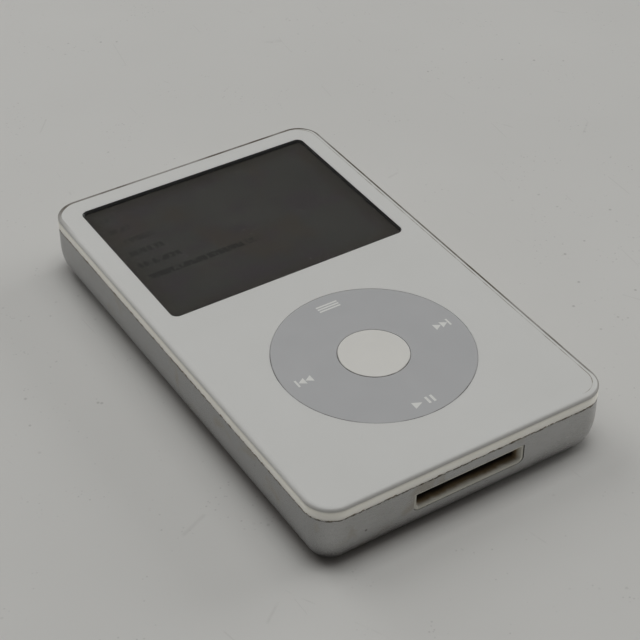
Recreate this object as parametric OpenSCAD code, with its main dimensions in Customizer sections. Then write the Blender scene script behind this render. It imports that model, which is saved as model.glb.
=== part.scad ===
// Pocket digital audio player. A white plastic front with a display window and a touch
// wheel closes a polished steel back, and the drive, battery and boards fill the space
// between them. Millimetres: +X runs across the front, +Y towards the headphone end and
// +Z out of the front. The origin is under the middle of the steel back.

/* [Case] */
// Width of the case
case_width = 61.8; // [58:0.1:66]
// Length of the case
case_length = 103.5; // [98:0.1:110]
// Thickness from the steel back to the front face
case_thickness = 14.0; // [12.5:0.1:16]
// Radius of the four corners, seen from the front
corner_radius = 5.3; // [4:0.1:8]
// Height of the plastic front that shows above the seam
front_height = 2.8; // [1.8:0.1:4]
// How far the front's rounded edge runs in from the side
front_edge_width = 1.05; // [0.4:0.05:1.4]
// How far the front's rounded edge falls from the face
front_edge_height = 0.6; // [0.3:0.05:1.2]
// Thickness of the front's plate
front_plate = 1.2; // [1:0.05:1.6]
// How far the plastic stands in from the steel's side
front_inset = 0; // [0:0.05:0.4]
// How far the back's rounded edge runs in from the side
back_edge_width = 3.3; // [2:0.1:5]
// How high the back's rounded edge climbs the side
back_edge_height = 7.0; // [4:0.1:8]
// Thickness of the steel
steel_thickness = 0.5; // [0.4:0.05:0.8]
// Gap of the seam between plastic and steel
seam_gap = 0.12; // [0.05:0.01:0.3]

/* [Display] */
// Width of the window
window_width = 52.4; // [48:0.1:56]
// Length of the window along the case
window_length = 39.8; // [36:0.1:44]
// Height of the window's centre above the middle of the case
window_y = 27.0; // [24:0.1:30]
// Radius of the window's corners
window_radius = 1.5; // [0.5:0.1:3]
// Width of the black border printed behind the window
mask_border = 0.2; // [0.15:0.05:2]
// Width of the display module
module_width = 55.5; // [52:0.1:57]
// Length of the display module
module_length = 43.0; // [40:0.1:45]

/* [Wheel] */
// Diameter of the touch wheel
wheel_diameter = 38.2; // [34:0.1:42]
// Position of the wheel's centre along the case
wheel_y = -21.25; // [-26:0.05:-18]
// Diameter of the centre button
button_diameter = 13.5; // [11:0.1:16]
// How far the wheel lies below the front face
wheel_recess = 0.05; // [0.05:0.05:0.4]
// Gap round the wheel
wheel_gap = 0.2; // [0.15:0.05:0.4]

/* [Dock socket] */
// Width of the socket's opening
dock_width = 21.6; // [20:0.1:24]
// Height of the socket's opening
dock_height = 2.6; // [2:0.1:3.4]
// Height of the socket's middle above the back
dock_level = 7.25; // [6.5:0.05:8]
// Width of the plastic rim at each end of the opening
dock_rim_width = 1.0; // [0.6:0.1:1.5]

/* [Headphone end] */
// Height of the headphone socket and the hold switch above the back
end_level = 7.0; // [6:0.1:7.5]
// Position of the headphone socket across the case
jack_x = 20.5; // [16:0.1:22]
// Diameter of the headphone socket's bore
jack_bore = 3.6; // [3.55:0.01:3.8]
// Depth of the headphone socket's bore
jack_depth = 13.6; // [13:0.1:15]
// Diameter of the headphone socket's collar
collar_diameter = 6.4; // [5:0.1:7]
// Position of the hold switch across the case
hold_x = -19.0; // [-21:0.1:-14]
// Travel of the hold switch
hold_travel = 3.0; // [2:0.1:4]
// Length of the hold switch's knob
hold_knob_length = 6.6; // [5:0.1:7]

/* [Drive] */
// Width of the hard disk drive
drive_width = 54.0; // [53:0.1:55]
// Length of the hard disk drive
drive_length = 78.5; // [70:0.1:79]
// Position of the drive's middle along the case
drive_y = -2.35; // [-4:0.05:0]
// Diameter of the drive's disk
platter_diameter = 47.0; // [44:0.1:48]
// Distance from the arm's pivot to its head
arm_length = 33.0; // [30:0.1:34]

/* [Battery] */
// Width of the battery
battery_width = 36.0; // [30:0.5:40]
// Length of the battery
battery_length = 50.0; // [44:0.5:54]
// Thickness of the battery
battery_thickness = 2.35; // [2:0.05:2.4]

/* [Output] */
// Part to draw, or all of them

/* [Hidden] */
$fn = 64;

// Levels above the back, from the back to the front
seam_level = case_thickness - front_height;
back_inner = steel_thickness;
pad_thickness = 0.15;
battery_bottom = back_inner + pad_thickness;
drive_bottom = battery_bottom + battery_thickness + 0.3;
drive_board_thickness = 0.5;
drive_base_bottom = drive_bottom + drive_board_thickness;
drive_floor = drive_base_bottom + 0.8;
drive_rim = drive_bottom + 4.4;
drive_top = drive_bottom + 5.0;
board_bottom = drive_top + 1.2;
board_thickness = 0.8;
board_top = board_bottom + board_thickness;
film_thickness = 0.1;
frame_bottom = board_top + film_thickness;
frame_thickness = 0.35;
frame_top = frame_bottom + frame_thickness;
plate_bottom = case_thickness - front_plate;
face_level = case_thickness;
wheel_top = face_level - wheel_recess;

// Case shapes
front_width = case_width - 2 * front_inset;
front_length = case_length - 2 * front_inset;
front_wall = 1.3;
skirt_clearance = 0.1;
skirt_width = case_width - 2 * (steel_thickness + skirt_clearance);
skirt_length = case_length - 2 * (steel_thickness + skirt_clearance);
skirt_bottom = seam_level - 2.0;
cavity_width = front_width - 2 * front_wall;
cavity_length = front_length - 2 * front_wall;
edge_steps = 8;
eps = 0.01;

// Outer face of each short end, and the plane behind which its sockets are held
end_face = case_length / 2 - 0.15;
end_seat = case_length / 2 - 1.15;
end_back = case_length / 2 - 2.15;

// Plate and flange of the hold switch's bezel
hold_plate_length = 11.6;
hold_plate_height = 3.8;
hold_flange_length = 13.6;
hold_flange_height = 5.6;
hold_slot_length = hold_travel + 2.4;
hold_slot_height = 1.4;

// Screws that hold the metal frame to the front
boss_radius = 1.5;
boss_hole = 0.55;
screw_shank = 0.5;
screw_head = 1.2;
screw_head_height = 0.45;
boss_x = 26.5;
boss_rows = [-46, wheel_y, 1.8];

// Wheel shapes
wheel_radius = wheel_diameter / 2;
wheel_hole = button_diameter / 2 + wheel_gap;
flange_radius = wheel_radius + 1.2;
flange_bottom = plate_bottom - 0.8;
flange_top = plate_bottom - 0.3;
sensor_thickness = 0.25;
sensor_bottom = flange_bottom - sensor_thickness;
dome_board_radius = wheel_radius + 0.5;
dome_board_thickness = 0.35;
dome_board_top = frame_top + dome_board_thickness;
dome_height = 0.25;
dome_circle = 16.5;
pivot_plate_bottom = dome_board_top + 0.25;
pivot_plate_thickness = 0.15;

// Drive shapes
drive_corner = 1.5;
drive_screw_edge = 2.3;
drive_end = drive_y + drive_length / 2;
spindle_y = drive_end - drive_width / 2;
platter_bottom = drive_floor + 1.6;
platter_thickness = 0.55;
platter_top = platter_bottom + platter_thickness;
hub_radius = 6.2;
hub_flange_radius = 7.5;
clamp_radius = 8.2;
shaft_radius = 1.2;
running_gap = 0.05;
arm_bottom = platter_top + 0.25;
arm_top = arm_bottom + 0.3;
arm_pivot = [14.5, -22.5];
arm_parked = 73;
pivot_radius = 1.5;
coil_bottom = drive_floor + 1.1;
coil_thickness = 0.8;
magnet_inner = 6.2;
magnet_outer = 15.0;
magnet_start = 238;
magnet_sweep = 54;

// Widths and levels of the flat cables
cable_thickness = 0.12;
connector_height = 0.7;
connector_level = board_bottom - connector_height / 2;
display_cable_x = 10;
display_cable_width = 16;
audio_cable_x = -11.5;
audio_cable_width = 5;
drive_cable_x = -17.5;
drive_cable_width = 10;
wheel_cable_x = 17;
wheel_cable_width = 6;
battery_cable_x = 24;
battery_cable_width = 4;

// ---- Helper shapes ----

// Insets and heights of an edge rounded by a quarter ellipse, from the bottom up.
function lower_edge(inset, rise, bottom) = [
    for (i = [0:edge_steps])
        let (angle = 90 * i / edge_steps)
            [inset * (1 - sin(angle)), bottom + rise * (1 - cos(angle))]
];

// The same for an upper edge, from the bottom up.
function upper_edge(inset, fall, top) = [
    for (i = [0:edge_steps])
        let (angle = 90 * i / edge_steps)
            [inset * (1 - cos(angle)), top - fall * (1 - sin(angle))]
];

// Half of a cross-section, from a start distance out to the profile's edge.
module half_section(start, reach, profile) {
    last = len(profile) - 1;
    polygon(concat(
        [[start, profile[0][1]]],
        [for (p = profile) [reach - p[0], p[1]]],
        [[start, profile[last][1]]]
    ));
}

// A slab with rounded corners whose edge follows a profile of insets and heights.
module profiled_slab(width, length, radius, profile) {
    for (turn = [0, 180]) {
        rotate([90, 0, turn])
            linear_extrude(length - 2 * radius, center = true)
                half_section(0, width / 2, profile);
        rotate([90, 0, turn + 90])
            linear_extrude(width - 2 * radius, center = true)
                half_section(length / 2 - radius, length / 2, profile);
    }
    for (i = [0:3])
        translate([
            (i == 0 || i == 3 ? 1 : -1) * (width / 2 - radius),
            (i < 2 ? 1 : -1) * (length / 2 - radius),
            0
        ])
            rotate([0, 0, 90 * i])
                rotate_extrude(angle = 90)
                    half_section(0, radius, profile);
}

// A flat rectangle with round corners.
module rounded_rectangle(width, length, radius) {
    square([width - 2 * radius, length], center = true);
    square([width, length - 2 * radius], center = true);
    for (x = [-1, 1], y = [-1, 1])
        translate([x * (width / 2 - radius), y * (length / 2 - radius)])
            circle(radius);
}

// A rounded plate between two levels.
module rounded_plate(width, length, radius, bottom, top) {
    translate([0, 0, bottom])
        linear_extrude(top - bottom)
            rounded_rectangle(width, length, radius);
}

// A box given by its middle across the case, its range along it and its levels.
module box(x, width, y_from, y_to, bottom, top) {
    translate([x - width / 2, y_from, bottom])
        cube([width, y_to - y_from, top - bottom]);
}

// A round piece between two levels, with an optional hole.
module disc(radius, bottom, top, hole = 0) {
    translate([0, 0, bottom])
        linear_extrude(top - bottom)
            difference() {
                circle(radius);
                if (hole > 0)
                    circle(hole);
            }
}

// Places a flat outline upright, facing +Y, between two distances from the middle.
module facing_end(y_from, y_to, level) {
    translate([0, y_to, level])
        rotate([90, 0, 0])
            linear_extrude(y_to - y_from)
                children();
}

// A long hole or bar with round ends, lying across the case.
module stadium(length, height) {
    square([length - height, height], center = true);
    for (x = [-1, 1])
        translate([x * (length - height) / 2, 0])
            circle(height / 2);
}

// A flat cable along straight runs of [y, z] points, with round bends.
module ribbon(x, width, path) {
    translate([x - width / 2, 0, 0])
        for (i = [0:len(path) - 2]) {
            run = path[i + 1] - path[i];
            translate([0, path[i][0], path[i][1]])
                rotate([atan2(run[1], run[0]), 0, 0])
                    translate([0, 0, -cable_thickness / 2])
                        cube([width, norm(run), cable_thickness]);
            if (i > 0)
                translate([0, path[i][0], path[i][1]])
                    rotate([0, 90, 0])
                        cylinder(r = cable_thickness / 2, h = width);
        }
}

// A sector of a ring about the arm's pivot.
module pivot_sector(inner, outer, start, sweep) {
    reach = outer / cos(sweep / 2);
    translate(arm_pivot)
        difference() {
            intersection() {
                circle(outer);
                polygon([
                    [0, 0],
                    reach * [cos(start), sin(start)],
                    reach / cos(sweep / 2) * [cos(start + sweep / 2), sin(start + sweep / 2)],
                    reach * [cos(start + sweep), sin(start + sweep)],
                ]);
            }
            circle(inner);
        }
}

// Puts its children at every screw boss of the frame.
module at_bosses() {
    for (x = [-1, 1], y = boss_rows)
        translate([x * boss_x, y, 0])
            children();
}

// ---- Front ----

module front_bezel() {
    dock_notch_rise = 2.95;
    color("white")
        difference() {
            union() {
                difference() {
                    union() {
                        profiled_slab(
                            front_width, front_length, corner_radius - front_inset,
                            concat(
                                [[0, seam_level + seam_gap]],
                                upper_edge(front_edge_width, front_edge_height, face_level)
                            )
                        );
                        rounded_plate(
                            skirt_width, skirt_length, corner_radius - 0.6,
                            skirt_bottom, seam_level + 1
                        );
                    }
                    rounded_plate(
                        cavity_width, cavity_length, corner_radius - 1.3,
                        skirt_bottom - 1, plate_bottom
                    );
                }
                at_bosses()
                    disc(boss_radius, frame_top, plate_bottom + eps);
            }
            at_bosses()
                disc(boss_hole, frame_top - 1, plate_bottom - 0.3);
            translate([0, window_y, 0])
                rounded_plate(
                    window_width + 0.1, window_length + 0.1, window_radius,
                    plate_bottom - 1, face_level + 1
                );
            translate([0, wheel_y, 0])
                disc(wheel_radius + wheel_gap, plate_bottom - 1, face_level + 1);
            box(
                0, dock_width + 5, -case_length / 2, -cavity_length / 2 + 1,
                0, dock_level + dock_notch_rise
            );
            box(jack_x, collar_diameter + 2, end_back, case_length / 2, 0, seam_level);
            box(
                hold_x, hold_flange_length + 1, end_back, case_length / 2,
                0, end_level + hold_flange_height / 2 + 0.6
            );
        }
}

module display_window() {
    color("dimgray", 0.5)
        translate([0, window_y, 0])
            rounded_plate(window_width, window_length, window_radius, plate_bottom, face_level);
}

module display_mask() {
    color("black")
        translate([0, window_y, 0])
            difference() {
                rounded_plate(
                    window_width, window_length, window_radius,
                    plate_bottom - film_thickness, plate_bottom
                );
                rounded_plate(
                    window_width - 2 * mask_border, window_length - 2 * mask_border,
                    max(0.3, window_radius - mask_border), plate_bottom - 1, plate_bottom + 1
                );
            }
}

module display_gasket() {
    color("dimgray")
        translate([0, window_y, 0])
            difference() {
                rounded_plate(
                    module_width - 1.2, module_length - 1.2, 0.5,
                    plate_bottom - 0.35, plate_bottom - film_thickness
                );
                rounded_plate(
                    window_width - mask_border, window_length - mask_border,
                    0.5, plate_bottom - 1, plate_bottom + 1
                );
            }
}

module display_panel() {
    color("darkslategray")
        translate([0, window_y, 0])
            rounded_plate(
                module_width - 1.2, module_length - 1.2, 0.3,
                plate_bottom - 1.35, plate_bottom - 0.35
            );
}

module display_backlight() {
    color("ivory")
        translate([0, window_y, 0])
            rounded_plate(
                module_width - 1.2, module_length - 1.2, 0.3,
                frame_top, plate_bottom - 1.35
            );
}

module display_frame() {
    color("silver")
        translate([0, window_y, 0])
            difference() {
                rounded_plate(
                    module_width, module_length, 0.8, frame_top, plate_bottom - 0.35
                );
                rounded_plate(
                    module_width - 1, module_length - 1, 0.4, frame_top - 1, plate_bottom
                );
            }
}

module display_cable() {
    edge = window_y - module_length / 2;
    color("darkorange")
        ribbon(display_cable_x, display_cable_width, [
            [edge, frame_top + 0.5],
            [edge - 1.3, frame_top + 0.5],
            [edge - 1.3, connector_level],
            [2, connector_level],
        ]);
}

// ---- Wheel and centre button ----

module click_wheel() {
    color("lightsteelblue")
        translate([0, wheel_y, 0])
            difference() {
                union() {
                    disc(wheel_radius, flange_bottom, wheel_top);
                    disc(flange_radius, flange_bottom, flange_top);
                }
                disc(wheel_hole, flange_bottom - 1, wheel_top + 1);
            }
}

module touch_sensor() {
    nub_radius = 0.8;
    nub_height = 0.15;
    color("seagreen")
        translate([0, wheel_y, 0]) {
            disc(flange_radius - 0.6, sensor_bottom, flange_bottom, hole = 8.6);
            for (i = [0:3])
                rotate([0, 0, 90 * i])
                    translate([dome_circle, 0, 0])
                        disc(nub_radius, sensor_bottom - nub_height, sensor_bottom + eps);
        }
}

module wheel_pivot_plate() {
    color("silver")
        translate([0, wheel_y, 0])
            disc(
                13, pivot_plate_bottom, pivot_plate_bottom + pivot_plate_thickness,
                hole = 8.6
            );
}

module select_button() {
    button_radius = button_diameter / 2;
    foot_bottom = sensor_bottom - 0.05;
    dish_radius = 90;
    dish_depth = 0.12;
    color("white")
        translate([0, wheel_y, 0])
            difference() {
                union() {
                    disc(button_radius, foot_bottom, wheel_top);
                    disc(button_radius + 1.3, foot_bottom, foot_bottom + 0.15);
                }
                translate([0, 0, wheel_top - dish_depth + dish_radius])
                    sphere(dish_radius);
            }
}

module dome_board() {
    color("seagreen")
        translate([0, 0, frame_top])
            linear_extrude(dome_board_thickness) {
                translate([0, wheel_y])
                    circle(dome_board_radius);
                translate([wheel_cable_x - wheel_cable_width / 2 - 1, wheel_y - 18])
                    square([wheel_cable_width + 2, 14]);
            }
}

module snap_domes() {
    dome_radius = 2.0;
    crown_radius = 1.2;
    places = concat([[0, 0]], [for (i = [0:3]) dome_circle * [cos(90 * i), sin(90 * i)]]);
    color("silver")
        for (place = places)
            translate([place[0], wheel_y + place[1], dome_board_top])
                cylinder(r1 = dome_radius, r2 = crown_radius, h = dome_height);
}

module wheel_cable() {
    slot_y = -43.2;
    color("darkorange")
        ribbon(wheel_cable_x, wheel_cable_width, [
            [wheel_y - 18, frame_top + 0.1],
            [slot_y, frame_top + 0.1],
            [slot_y, connector_level],
            [-40.5, connector_level],
        ]);
}

// ---- Frame and logic board ----

module mid_frame() {
    frame_from = -47.5;
    frame_to = 48.9;
    frame_width = 58;
    flange_x = 28.8;
    flange_thickness = 0.4;
    light_hole = 6;
    color("gainsboro")
        difference() {
            union() {
                translate([0, (frame_from + frame_to) / 2, 0])
                    rounded_plate(
                        frame_width, frame_to - frame_from, 3, frame_bottom, frame_top
                    );
                for (x = [-1, 1])
                    box(x * flange_x, flange_thickness, -38, 34, skirt_bottom, frame_top);
            }
            at_bosses()
                disc(boss_hole + 0.05, frame_bottom - 1, frame_top + 1);
            box(
                display_cable_x, display_cable_width + 1.5, 3.4, 5.1,
                frame_bottom - 1, frame_top + 1
            );
            box(
                wheel_cable_x, wheel_cable_width + 1.5, -44, -42.4,
                frame_bottom - 1, frame_top + 1
            );
            for (y = [wheel_y, window_y])
                translate([0, y, 0])
                    disc(light_hole, frame_bottom - 1, frame_top + 1);
        }
}

module frame_screws() {
    color("silver")
        at_bosses() {
            disc(screw_head, frame_bottom - screw_head_height, frame_bottom);
            disc(screw_shank, frame_bottom - eps, plate_bottom - 0.6);
        }
}

// Outline shared by the logic board and its insulating film.
module board_outline() {
    board_width = 56;
    board_length = 49;
    board_y = -21.5;
    difference() {
        translate([0, board_y])
            rounded_rectangle(board_width, board_length, 1);
        for (x = [-1, 1], y = boss_rows)
            translate([x * boss_x, y])
                circle(screw_head + 0.6);
        translate([wheel_cable_x - wheel_cable_width / 2 - 0.7, -44])
            square([wheel_cable_width + 1.4, 1.6]);
    }
}

module board_film() {
    color("goldenrod")
        translate([0, 0, board_top])
            linear_extrude(film_thickness)
                board_outline();
}

module logic_board() {
    color("darkgreen")
        translate([0, 0, board_bottom])
            linear_extrude(board_thickness)
                board_outline();
}

// Each chip is a centre position and a square side.
chips = [[-5, -13, 12], [-20, -10, 9], [-19, -25, 8], [-4, -31, 10]];

module board_chips() {
    chip_height = 0.85;
    color("black")
        for (chip = chips)
            translate([chip[0], chip[1], 0])
                rounded_plate(chip[2], chip[2], 0.3, board_bottom - chip_height, board_bottom);
}

module board_shield() {
    can_width = 18;
    can_length = 16;
    can_height = 0.9;
    can_wall = 0.15;
    color("silver")
        translate([14, -18, board_bottom - can_height])
            difference() {
                linear_extrude(can_height)
                    rounded_rectangle(can_width, can_length, 0.6);
                translate([0, 0, can_wall])
                    linear_extrude(can_height)
                        rounded_rectangle(
                            can_width - 2 * can_wall, can_length - 2 * can_wall, 0.5
                        );
            }
}

module board_capacitors() {
    first = [6, -30.5];
    column_pitch = 2.4;
    row_pitch = 1.6;
    length = 1.0;
    side = 0.5;
    color("tan")
        for (row = [0:3], column = [0:5])
            translate([
                first[0] + column_pitch * column, first[1] - row_pitch * row, board_bottom - side
            ])
                cube([length, side, side]);
}

module board_connectors() {
    bottom = board_bottom - connector_height;
    color("ivory") {
        box(display_cable_x, display_cable_width + 1, -1.5, 2, bottom, board_bottom);
        box(audio_cable_x, audio_cable_width + 1, -3.5, 1, bottom, board_bottom);
        box(drive_cable_x, drive_cable_width + 1, -40, -37, bottom, board_bottom);
        box(wheel_cable_x, wheel_cable_width + 0.6, -40.5, -38, bottom, board_bottom);
        box(battery_cable_x, battery_cable_width, -41.5, -38, bottom, board_bottom);
    }
}

// ---- Dock socket ----

// Outline of the socket's opening, grown by a margin: the lower corners are cut off.
module dock_outline(margin) {
    half = dock_width / 2 + margin;
    rise = dock_height / 2 + margin * 0.8;
    cut = 0.35 + margin * 0.35;
    polygon([
        [-half, rise], [half, rise], [half, -rise + cut], [half - cut, -rise],
        [-half + cut, -rise], [-half, -rise + cut],
    ]);
}

module dock_rim() {
    flare = 0.45;
    flare_depth = 0.8;
    color("ivory")
        difference() {
            union() {
                facing_end(-end_face, -end_seat + 0.2, dock_level)
                    dock_outline(dock_rim_width);
                facing_end(-end_seat + 0.2, -end_back, dock_level)
                    square([dock_width + 3.6, dock_height + 2.4], center = true);
            }
            facing_end(-case_length / 2, -end_back + 1, dock_level)
                dock_outline(0);
            intersection() {
                translate([0, -end_face, dock_level])
                    rotate([90, 0, 90])
                        linear_extrude(2 * dock_width, center = true)
                            polygon([
                                [-eps, -dock_height / 2 - flare],
                                [-eps, dock_height / 2 + flare],
                                [flare_depth, dock_height / 2],
                                [flare_depth, -dock_height / 2],
                            ]);
                translate([0, -end_face, dock_level])
                    linear_extrude(2 * dock_height, center = true)
                        polygon([
                            [-dock_width / 2 - flare, -eps],
                            [dock_width / 2 + flare, -eps],
                            [dock_width / 2, flare_depth],
                            [-dock_width / 2, flare_depth],
                        ]);
            }
        }
}

// Depth planes of the socket behind its rim
dock_back = -43.0;
dock_housing_bottom = 5.4;
dock_shell_half = dock_width / 2 + 1.2;
tongue_level = dock_level + 0.35;
tongue_thickness = 0.7;
tongue_width = 19.0;

module dock_connector() {
    color("dimgray") {
        difference() {
            box(
                0, 2 * dock_shell_half, -end_back, dock_back, dock_housing_bottom, board_bottom
            );
            facing_end(-end_back - 1, dock_back - 1.2, dock_level)
                dock_outline(0);
        }
        box(
            0, tongue_width, -end_back + 0.6, dock_back - 1,
            tongue_level - tongue_thickness / 2, tongue_level + tongue_thickness / 2
        );
    }
}

module dock_shield() {
    wall = 0.2;
    color("silver")
        difference() {
            box(
                0, 2 * dock_shell_half + 2 * wall, -end_back, dock_back,
                dock_housing_bottom - wall, board_bottom
            );
            box(
                0, 2 * dock_shell_half, -end_back - 1, dock_back + 1,
                dock_housing_bottom, board_bottom + 1
            );
        }
}

module dock_contacts() {
    contact_count = 30;
    contact_pitch = 0.5;
    contact_width = 0.28;
    contact_thickness = 0.12;
    top = tongue_level - tongue_thickness / 2;
    color("gold")
        for (i = [0:contact_count - 1])
            box(
                (i - (contact_count - 1) / 2) * contact_pitch, contact_width,
                -end_back + 1, dock_back - 1.3, top - contact_thickness, top
            );
}

// ---- Hard disk drive ----

// Puts its children on the disk's spindle.
module at_spindle() {
    translate([0, spindle_y, 0])
        children();
}

// Puts its children on the arm's pivot.
module at_arm_pivot() {
    translate([arm_pivot[0], arm_pivot[1], 0])
        children();
}

// Puts its children at the drive's four corner screws.
module at_drive_corners(edge) {
    for (x = [-1, 1], y = [-1, 1])
        translate([x * (drive_width / 2 - edge), drive_y + y * (drive_length / 2 - edge), 0])
            children();
}

module drive_base() {
    wall = 1.3;
    well_radius = 6;
    color("silver")
        difference() {
            translate([0, drive_y, 0])
                rounded_plate(
                    drive_width, drive_length, drive_corner, drive_base_bottom, drive_rim
                );
            translate([0, drive_y, 0])
                rounded_plate(
                    drive_width - 2 * wall, drive_length - 2 * wall, well_radius,
                    drive_floor, drive_rim + 1
                );
            at_drive_corners(drive_screw_edge)
                disc(screw_shank + 0.05, drive_rim - 2, drive_rim + 1);
        }
}

module drive_cover() {
    groove_outer = 20;
    groove_inner = 9;
    color("gainsboro")
        difference() {
            translate([0, drive_y, 0])
                rounded_plate(drive_width, drive_length, drive_corner, drive_rim, drive_top);
            at_drive_corners(drive_screw_edge) {
                disc(screw_shank + 0.05, drive_rim - 1, drive_top + 1);
                disc(screw_head, drive_top - 0.35, drive_top + 1);
            }
            at_spindle()
                disc(groove_outer, drive_top - 0.15, drive_top + 1, hole = groove_inner);
        }
}

module drive_screws() {
    color("dimgray")
        at_drive_corners(drive_screw_edge) {
            disc(screw_head - 0.1, drive_top - 0.35, drive_top - 0.02);
            disc(screw_shank, drive_rim - 1.8, drive_top - 0.3);
        }
}

module spindle_motor() {
    teeth = 9;
    base_radius = 3.2;
    tooth_length = 3;
    tooth_width = 1.2;
    height = 0.6;
    color("peru")
        at_spindle() {
            disc(base_radius, drive_floor, drive_floor + height);
            disc(shaft_radius, drive_floor + height - eps, platter_top + 0.3);
            for (i = [0:teeth - 1])
                rotate([0, 0, 360 / teeth * i])
                    box(
                        base_radius + 0.2 + tooth_length / 2, tooth_length,
                        -tooth_width / 2, tooth_width / 2, drive_floor, drive_floor + height
                    );
        }
}

module spindle_hub() {
    color("silver")
        at_spindle()
            difference() {
                union() {
                    disc(hub_flange_radius, drive_floor + 0.9, platter_bottom);
                    disc(hub_radius, drive_floor + 0.9, platter_top);
                }
                disc(shaft_radius + running_gap, drive_floor, platter_top + 1);
            }
}

module platter() {
    color("gainsboro")
        at_spindle()
            disc(
                platter_diameter / 2, platter_bottom, platter_top,
                hole = hub_radius + running_gap
            );
}

module platter_clamp() {
    color("silver")
        at_spindle()
            disc(clamp_radius, platter_top, platter_top + 0.18, hole = shaft_radius + 0.2);
}

module arm_pivot_post() {
    color("dimgray")
        at_arm_pivot()
            disc(pivot_radius, drive_floor, arm_top + 0.2);
}

module actuator_arm() {
    hub = 4.2;
    root = 2.6;
    tip = 0.9;
    color("silver")
        at_arm_pivot()
            difference() {
                union() {
                    disc(hub, coil_bottom - 0.1, arm_top + 0.1);
                    rotate([0, 0, arm_parked])
                        translate([0, 0, arm_bottom])
                            linear_extrude(arm_top - arm_bottom)
                                polygon([
                                    [0, -root], [0, root],
                                    [arm_length, tip], [arm_length + tip, tip / 2],
                                    [arm_length + tip, -tip / 2], [arm_length, -tip],
                                ]);
                    rotate([0, 0, arm_parked + 180])
                        box(4.35, 4.3, -2.2, 2.2, coil_bottom, coil_bottom + coil_thickness);
                }
                disc(pivot_radius + running_gap, drive_floor, arm_top + 1);
            }
}

module head_slider() {
    color("dimgray")
        at_arm_pivot()
            rotate([0, 0, arm_parked])
                box(arm_length - 0.4, 1.2, -0.5, 0.5, arm_bottom - 0.15, arm_bottom);
}

module voice_coil() {
    inner = 6.9;
    outer = 13.4;
    half_angle = 18;
    color("peru")
        translate([0, 0, coil_bottom])
            linear_extrude(coil_thickness)
                difference() {
                    pivot_sector(inner, outer, arm_parked + 180 - half_angle, 2 * half_angle);
                    pivot_sector(
                        inner + 1.8, outer - 1.8, arm_parked + 188 - half_angle,
                        2 * half_angle - 16
                    );
                }
}

module coil_magnets() {
    plate = 0.7;
    upper = arm_bottom - 0.15;
    color("dimgray") {
        for (level = [drive_floor, upper])
            translate([0, 0, level])
                linear_extrude(plate)
                    pivot_sector(magnet_inner, magnet_outer, magnet_start, magnet_sweep);
        translate([0, 0, drive_floor])
            linear_extrude(upper + plate - drive_floor)
                difference() {
                    pivot_sector(magnet_outer - 0.9, magnet_outer, magnet_start, magnet_sweep);
                    pivot_sector(
                        magnet_outer - 2, magnet_outer + 1, magnet_start + 6, magnet_sweep - 12
                    );
                }
    }
}

module parking_ramp() {
    color("ivory")
        box(24.9, 1.4, spindle_y - 4, spindle_y + 3, drive_floor, arm_bottom - 0.2);
}

module drive_board() {
    width = 48;
    length = 38;
    color("darkgreen")
        translate([0, drive_y - 18, 0])
            rounded_plate(width, length, 1, drive_bottom, drive_base_bottom);
}

module drive_cable() {
    board_end = drive_y - 37;
    rise_y = -43.4;
    color("darkorange")
        ribbon(drive_cable_x, drive_cable_width, [
            [board_end, drive_bottom + 0.2],
            [rise_y, drive_bottom + 0.2],
            [rise_y, connector_level],
            [-40, connector_level],
        ]);
}

module drive_bumpers() {
    side = 2.2;
    end = 0.5;
    arm_x = 5;
    arm_y = 14;
    color("steelblue")
        for (x = [-1, 1], y = [-1, 1])
            translate([x * drive_width / 2, drive_y + y * drive_length / 2, drive_base_bottom])
                difference() {
                    translate([
                        x > 0 ? -arm_x : -side,
                        y > 0 ? -arm_y : -end,
                        0
                    ])
                        cube([arm_x + side, arm_y + end, drive_rim - drive_base_bottom]);
                    translate([x > 0 ? -2 * arm_x : 0, y > 0 ? -2 * arm_y : 0, -1])
                        cube([2 * arm_x, 2 * arm_y, 10]);
                }
}

// ---- Battery ----

battery_x = -2;
battery_y = -6;

module battery_cell() {
    color("silver")
        translate([battery_x, battery_y, 0])
            rounded_plate(
                battery_width, battery_length, 1.5,
                battery_bottom, battery_bottom + battery_thickness
            );
}

module battery_pad() {
    color("gold")
        translate([battery_x, battery_y, 0])
            rounded_plate(
                battery_width - 8, battery_length - 12, 1, back_inner, battery_bottom
            );
}

module battery_cable() {
    cell_end = battery_y - battery_length / 2;
    level = battery_bottom + battery_thickness / 2;
    rise_y = -44.4;
    color("darkorange") {
        box(
            10, 12, cell_end - 1.2, cell_end,
            battery_bottom + 0.4, battery_bottom + battery_thickness - 0.4
        );
        box(
            18, 16, cell_end - 1.2, cell_end - 0.8,
            level - cable_thickness / 2, level + cable_thickness / 2
        );
        ribbon(battery_cable_x, battery_cable_width, [
            [cell_end - 0.8, level],
            [rise_y, level],
            [rise_y, connector_level],
            [-41.5, connector_level],
        ]);
    }
}

// ---- Headphone socket and hold switch ----

audio_board_bottom = 3.9;
audio_board_top = 4.2;
audio_from = 38.3;
audio_to = 48.4;
audio_screw_x = [-6, 10];
audio_screw_y = 43;

module audio_bracket() {
    leg_width = 6;
    plate_bottom_level = audio_board_bottom - 0.3;
    color("silver")
        difference() {
            union() {
                box(0, 44, audio_from + 2, audio_to - 2, plate_bottom_level, audio_board_bottom);
                for (x = [-19, 2, 19])
                    box(
                        x, leg_width, audio_from + 2, audio_from + 2.4,
                        back_inner, audio_board_bottom
                    );
            }
            for (x = audio_screw_x)
                translate([x, audio_screw_y, 0])
                    disc(screw_shank + 0.05, 0, audio_board_top);
        }
}

module audio_board() {
    color("darkgreen")
        difference() {
            box(0, 50, audio_from, audio_to, audio_board_bottom, audio_board_top);
            for (x = audio_screw_x)
                translate([x, audio_screw_y, 0])
                    disc(screw_shank + 0.05, 0, audio_board_top + 1);
        }
}

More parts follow.
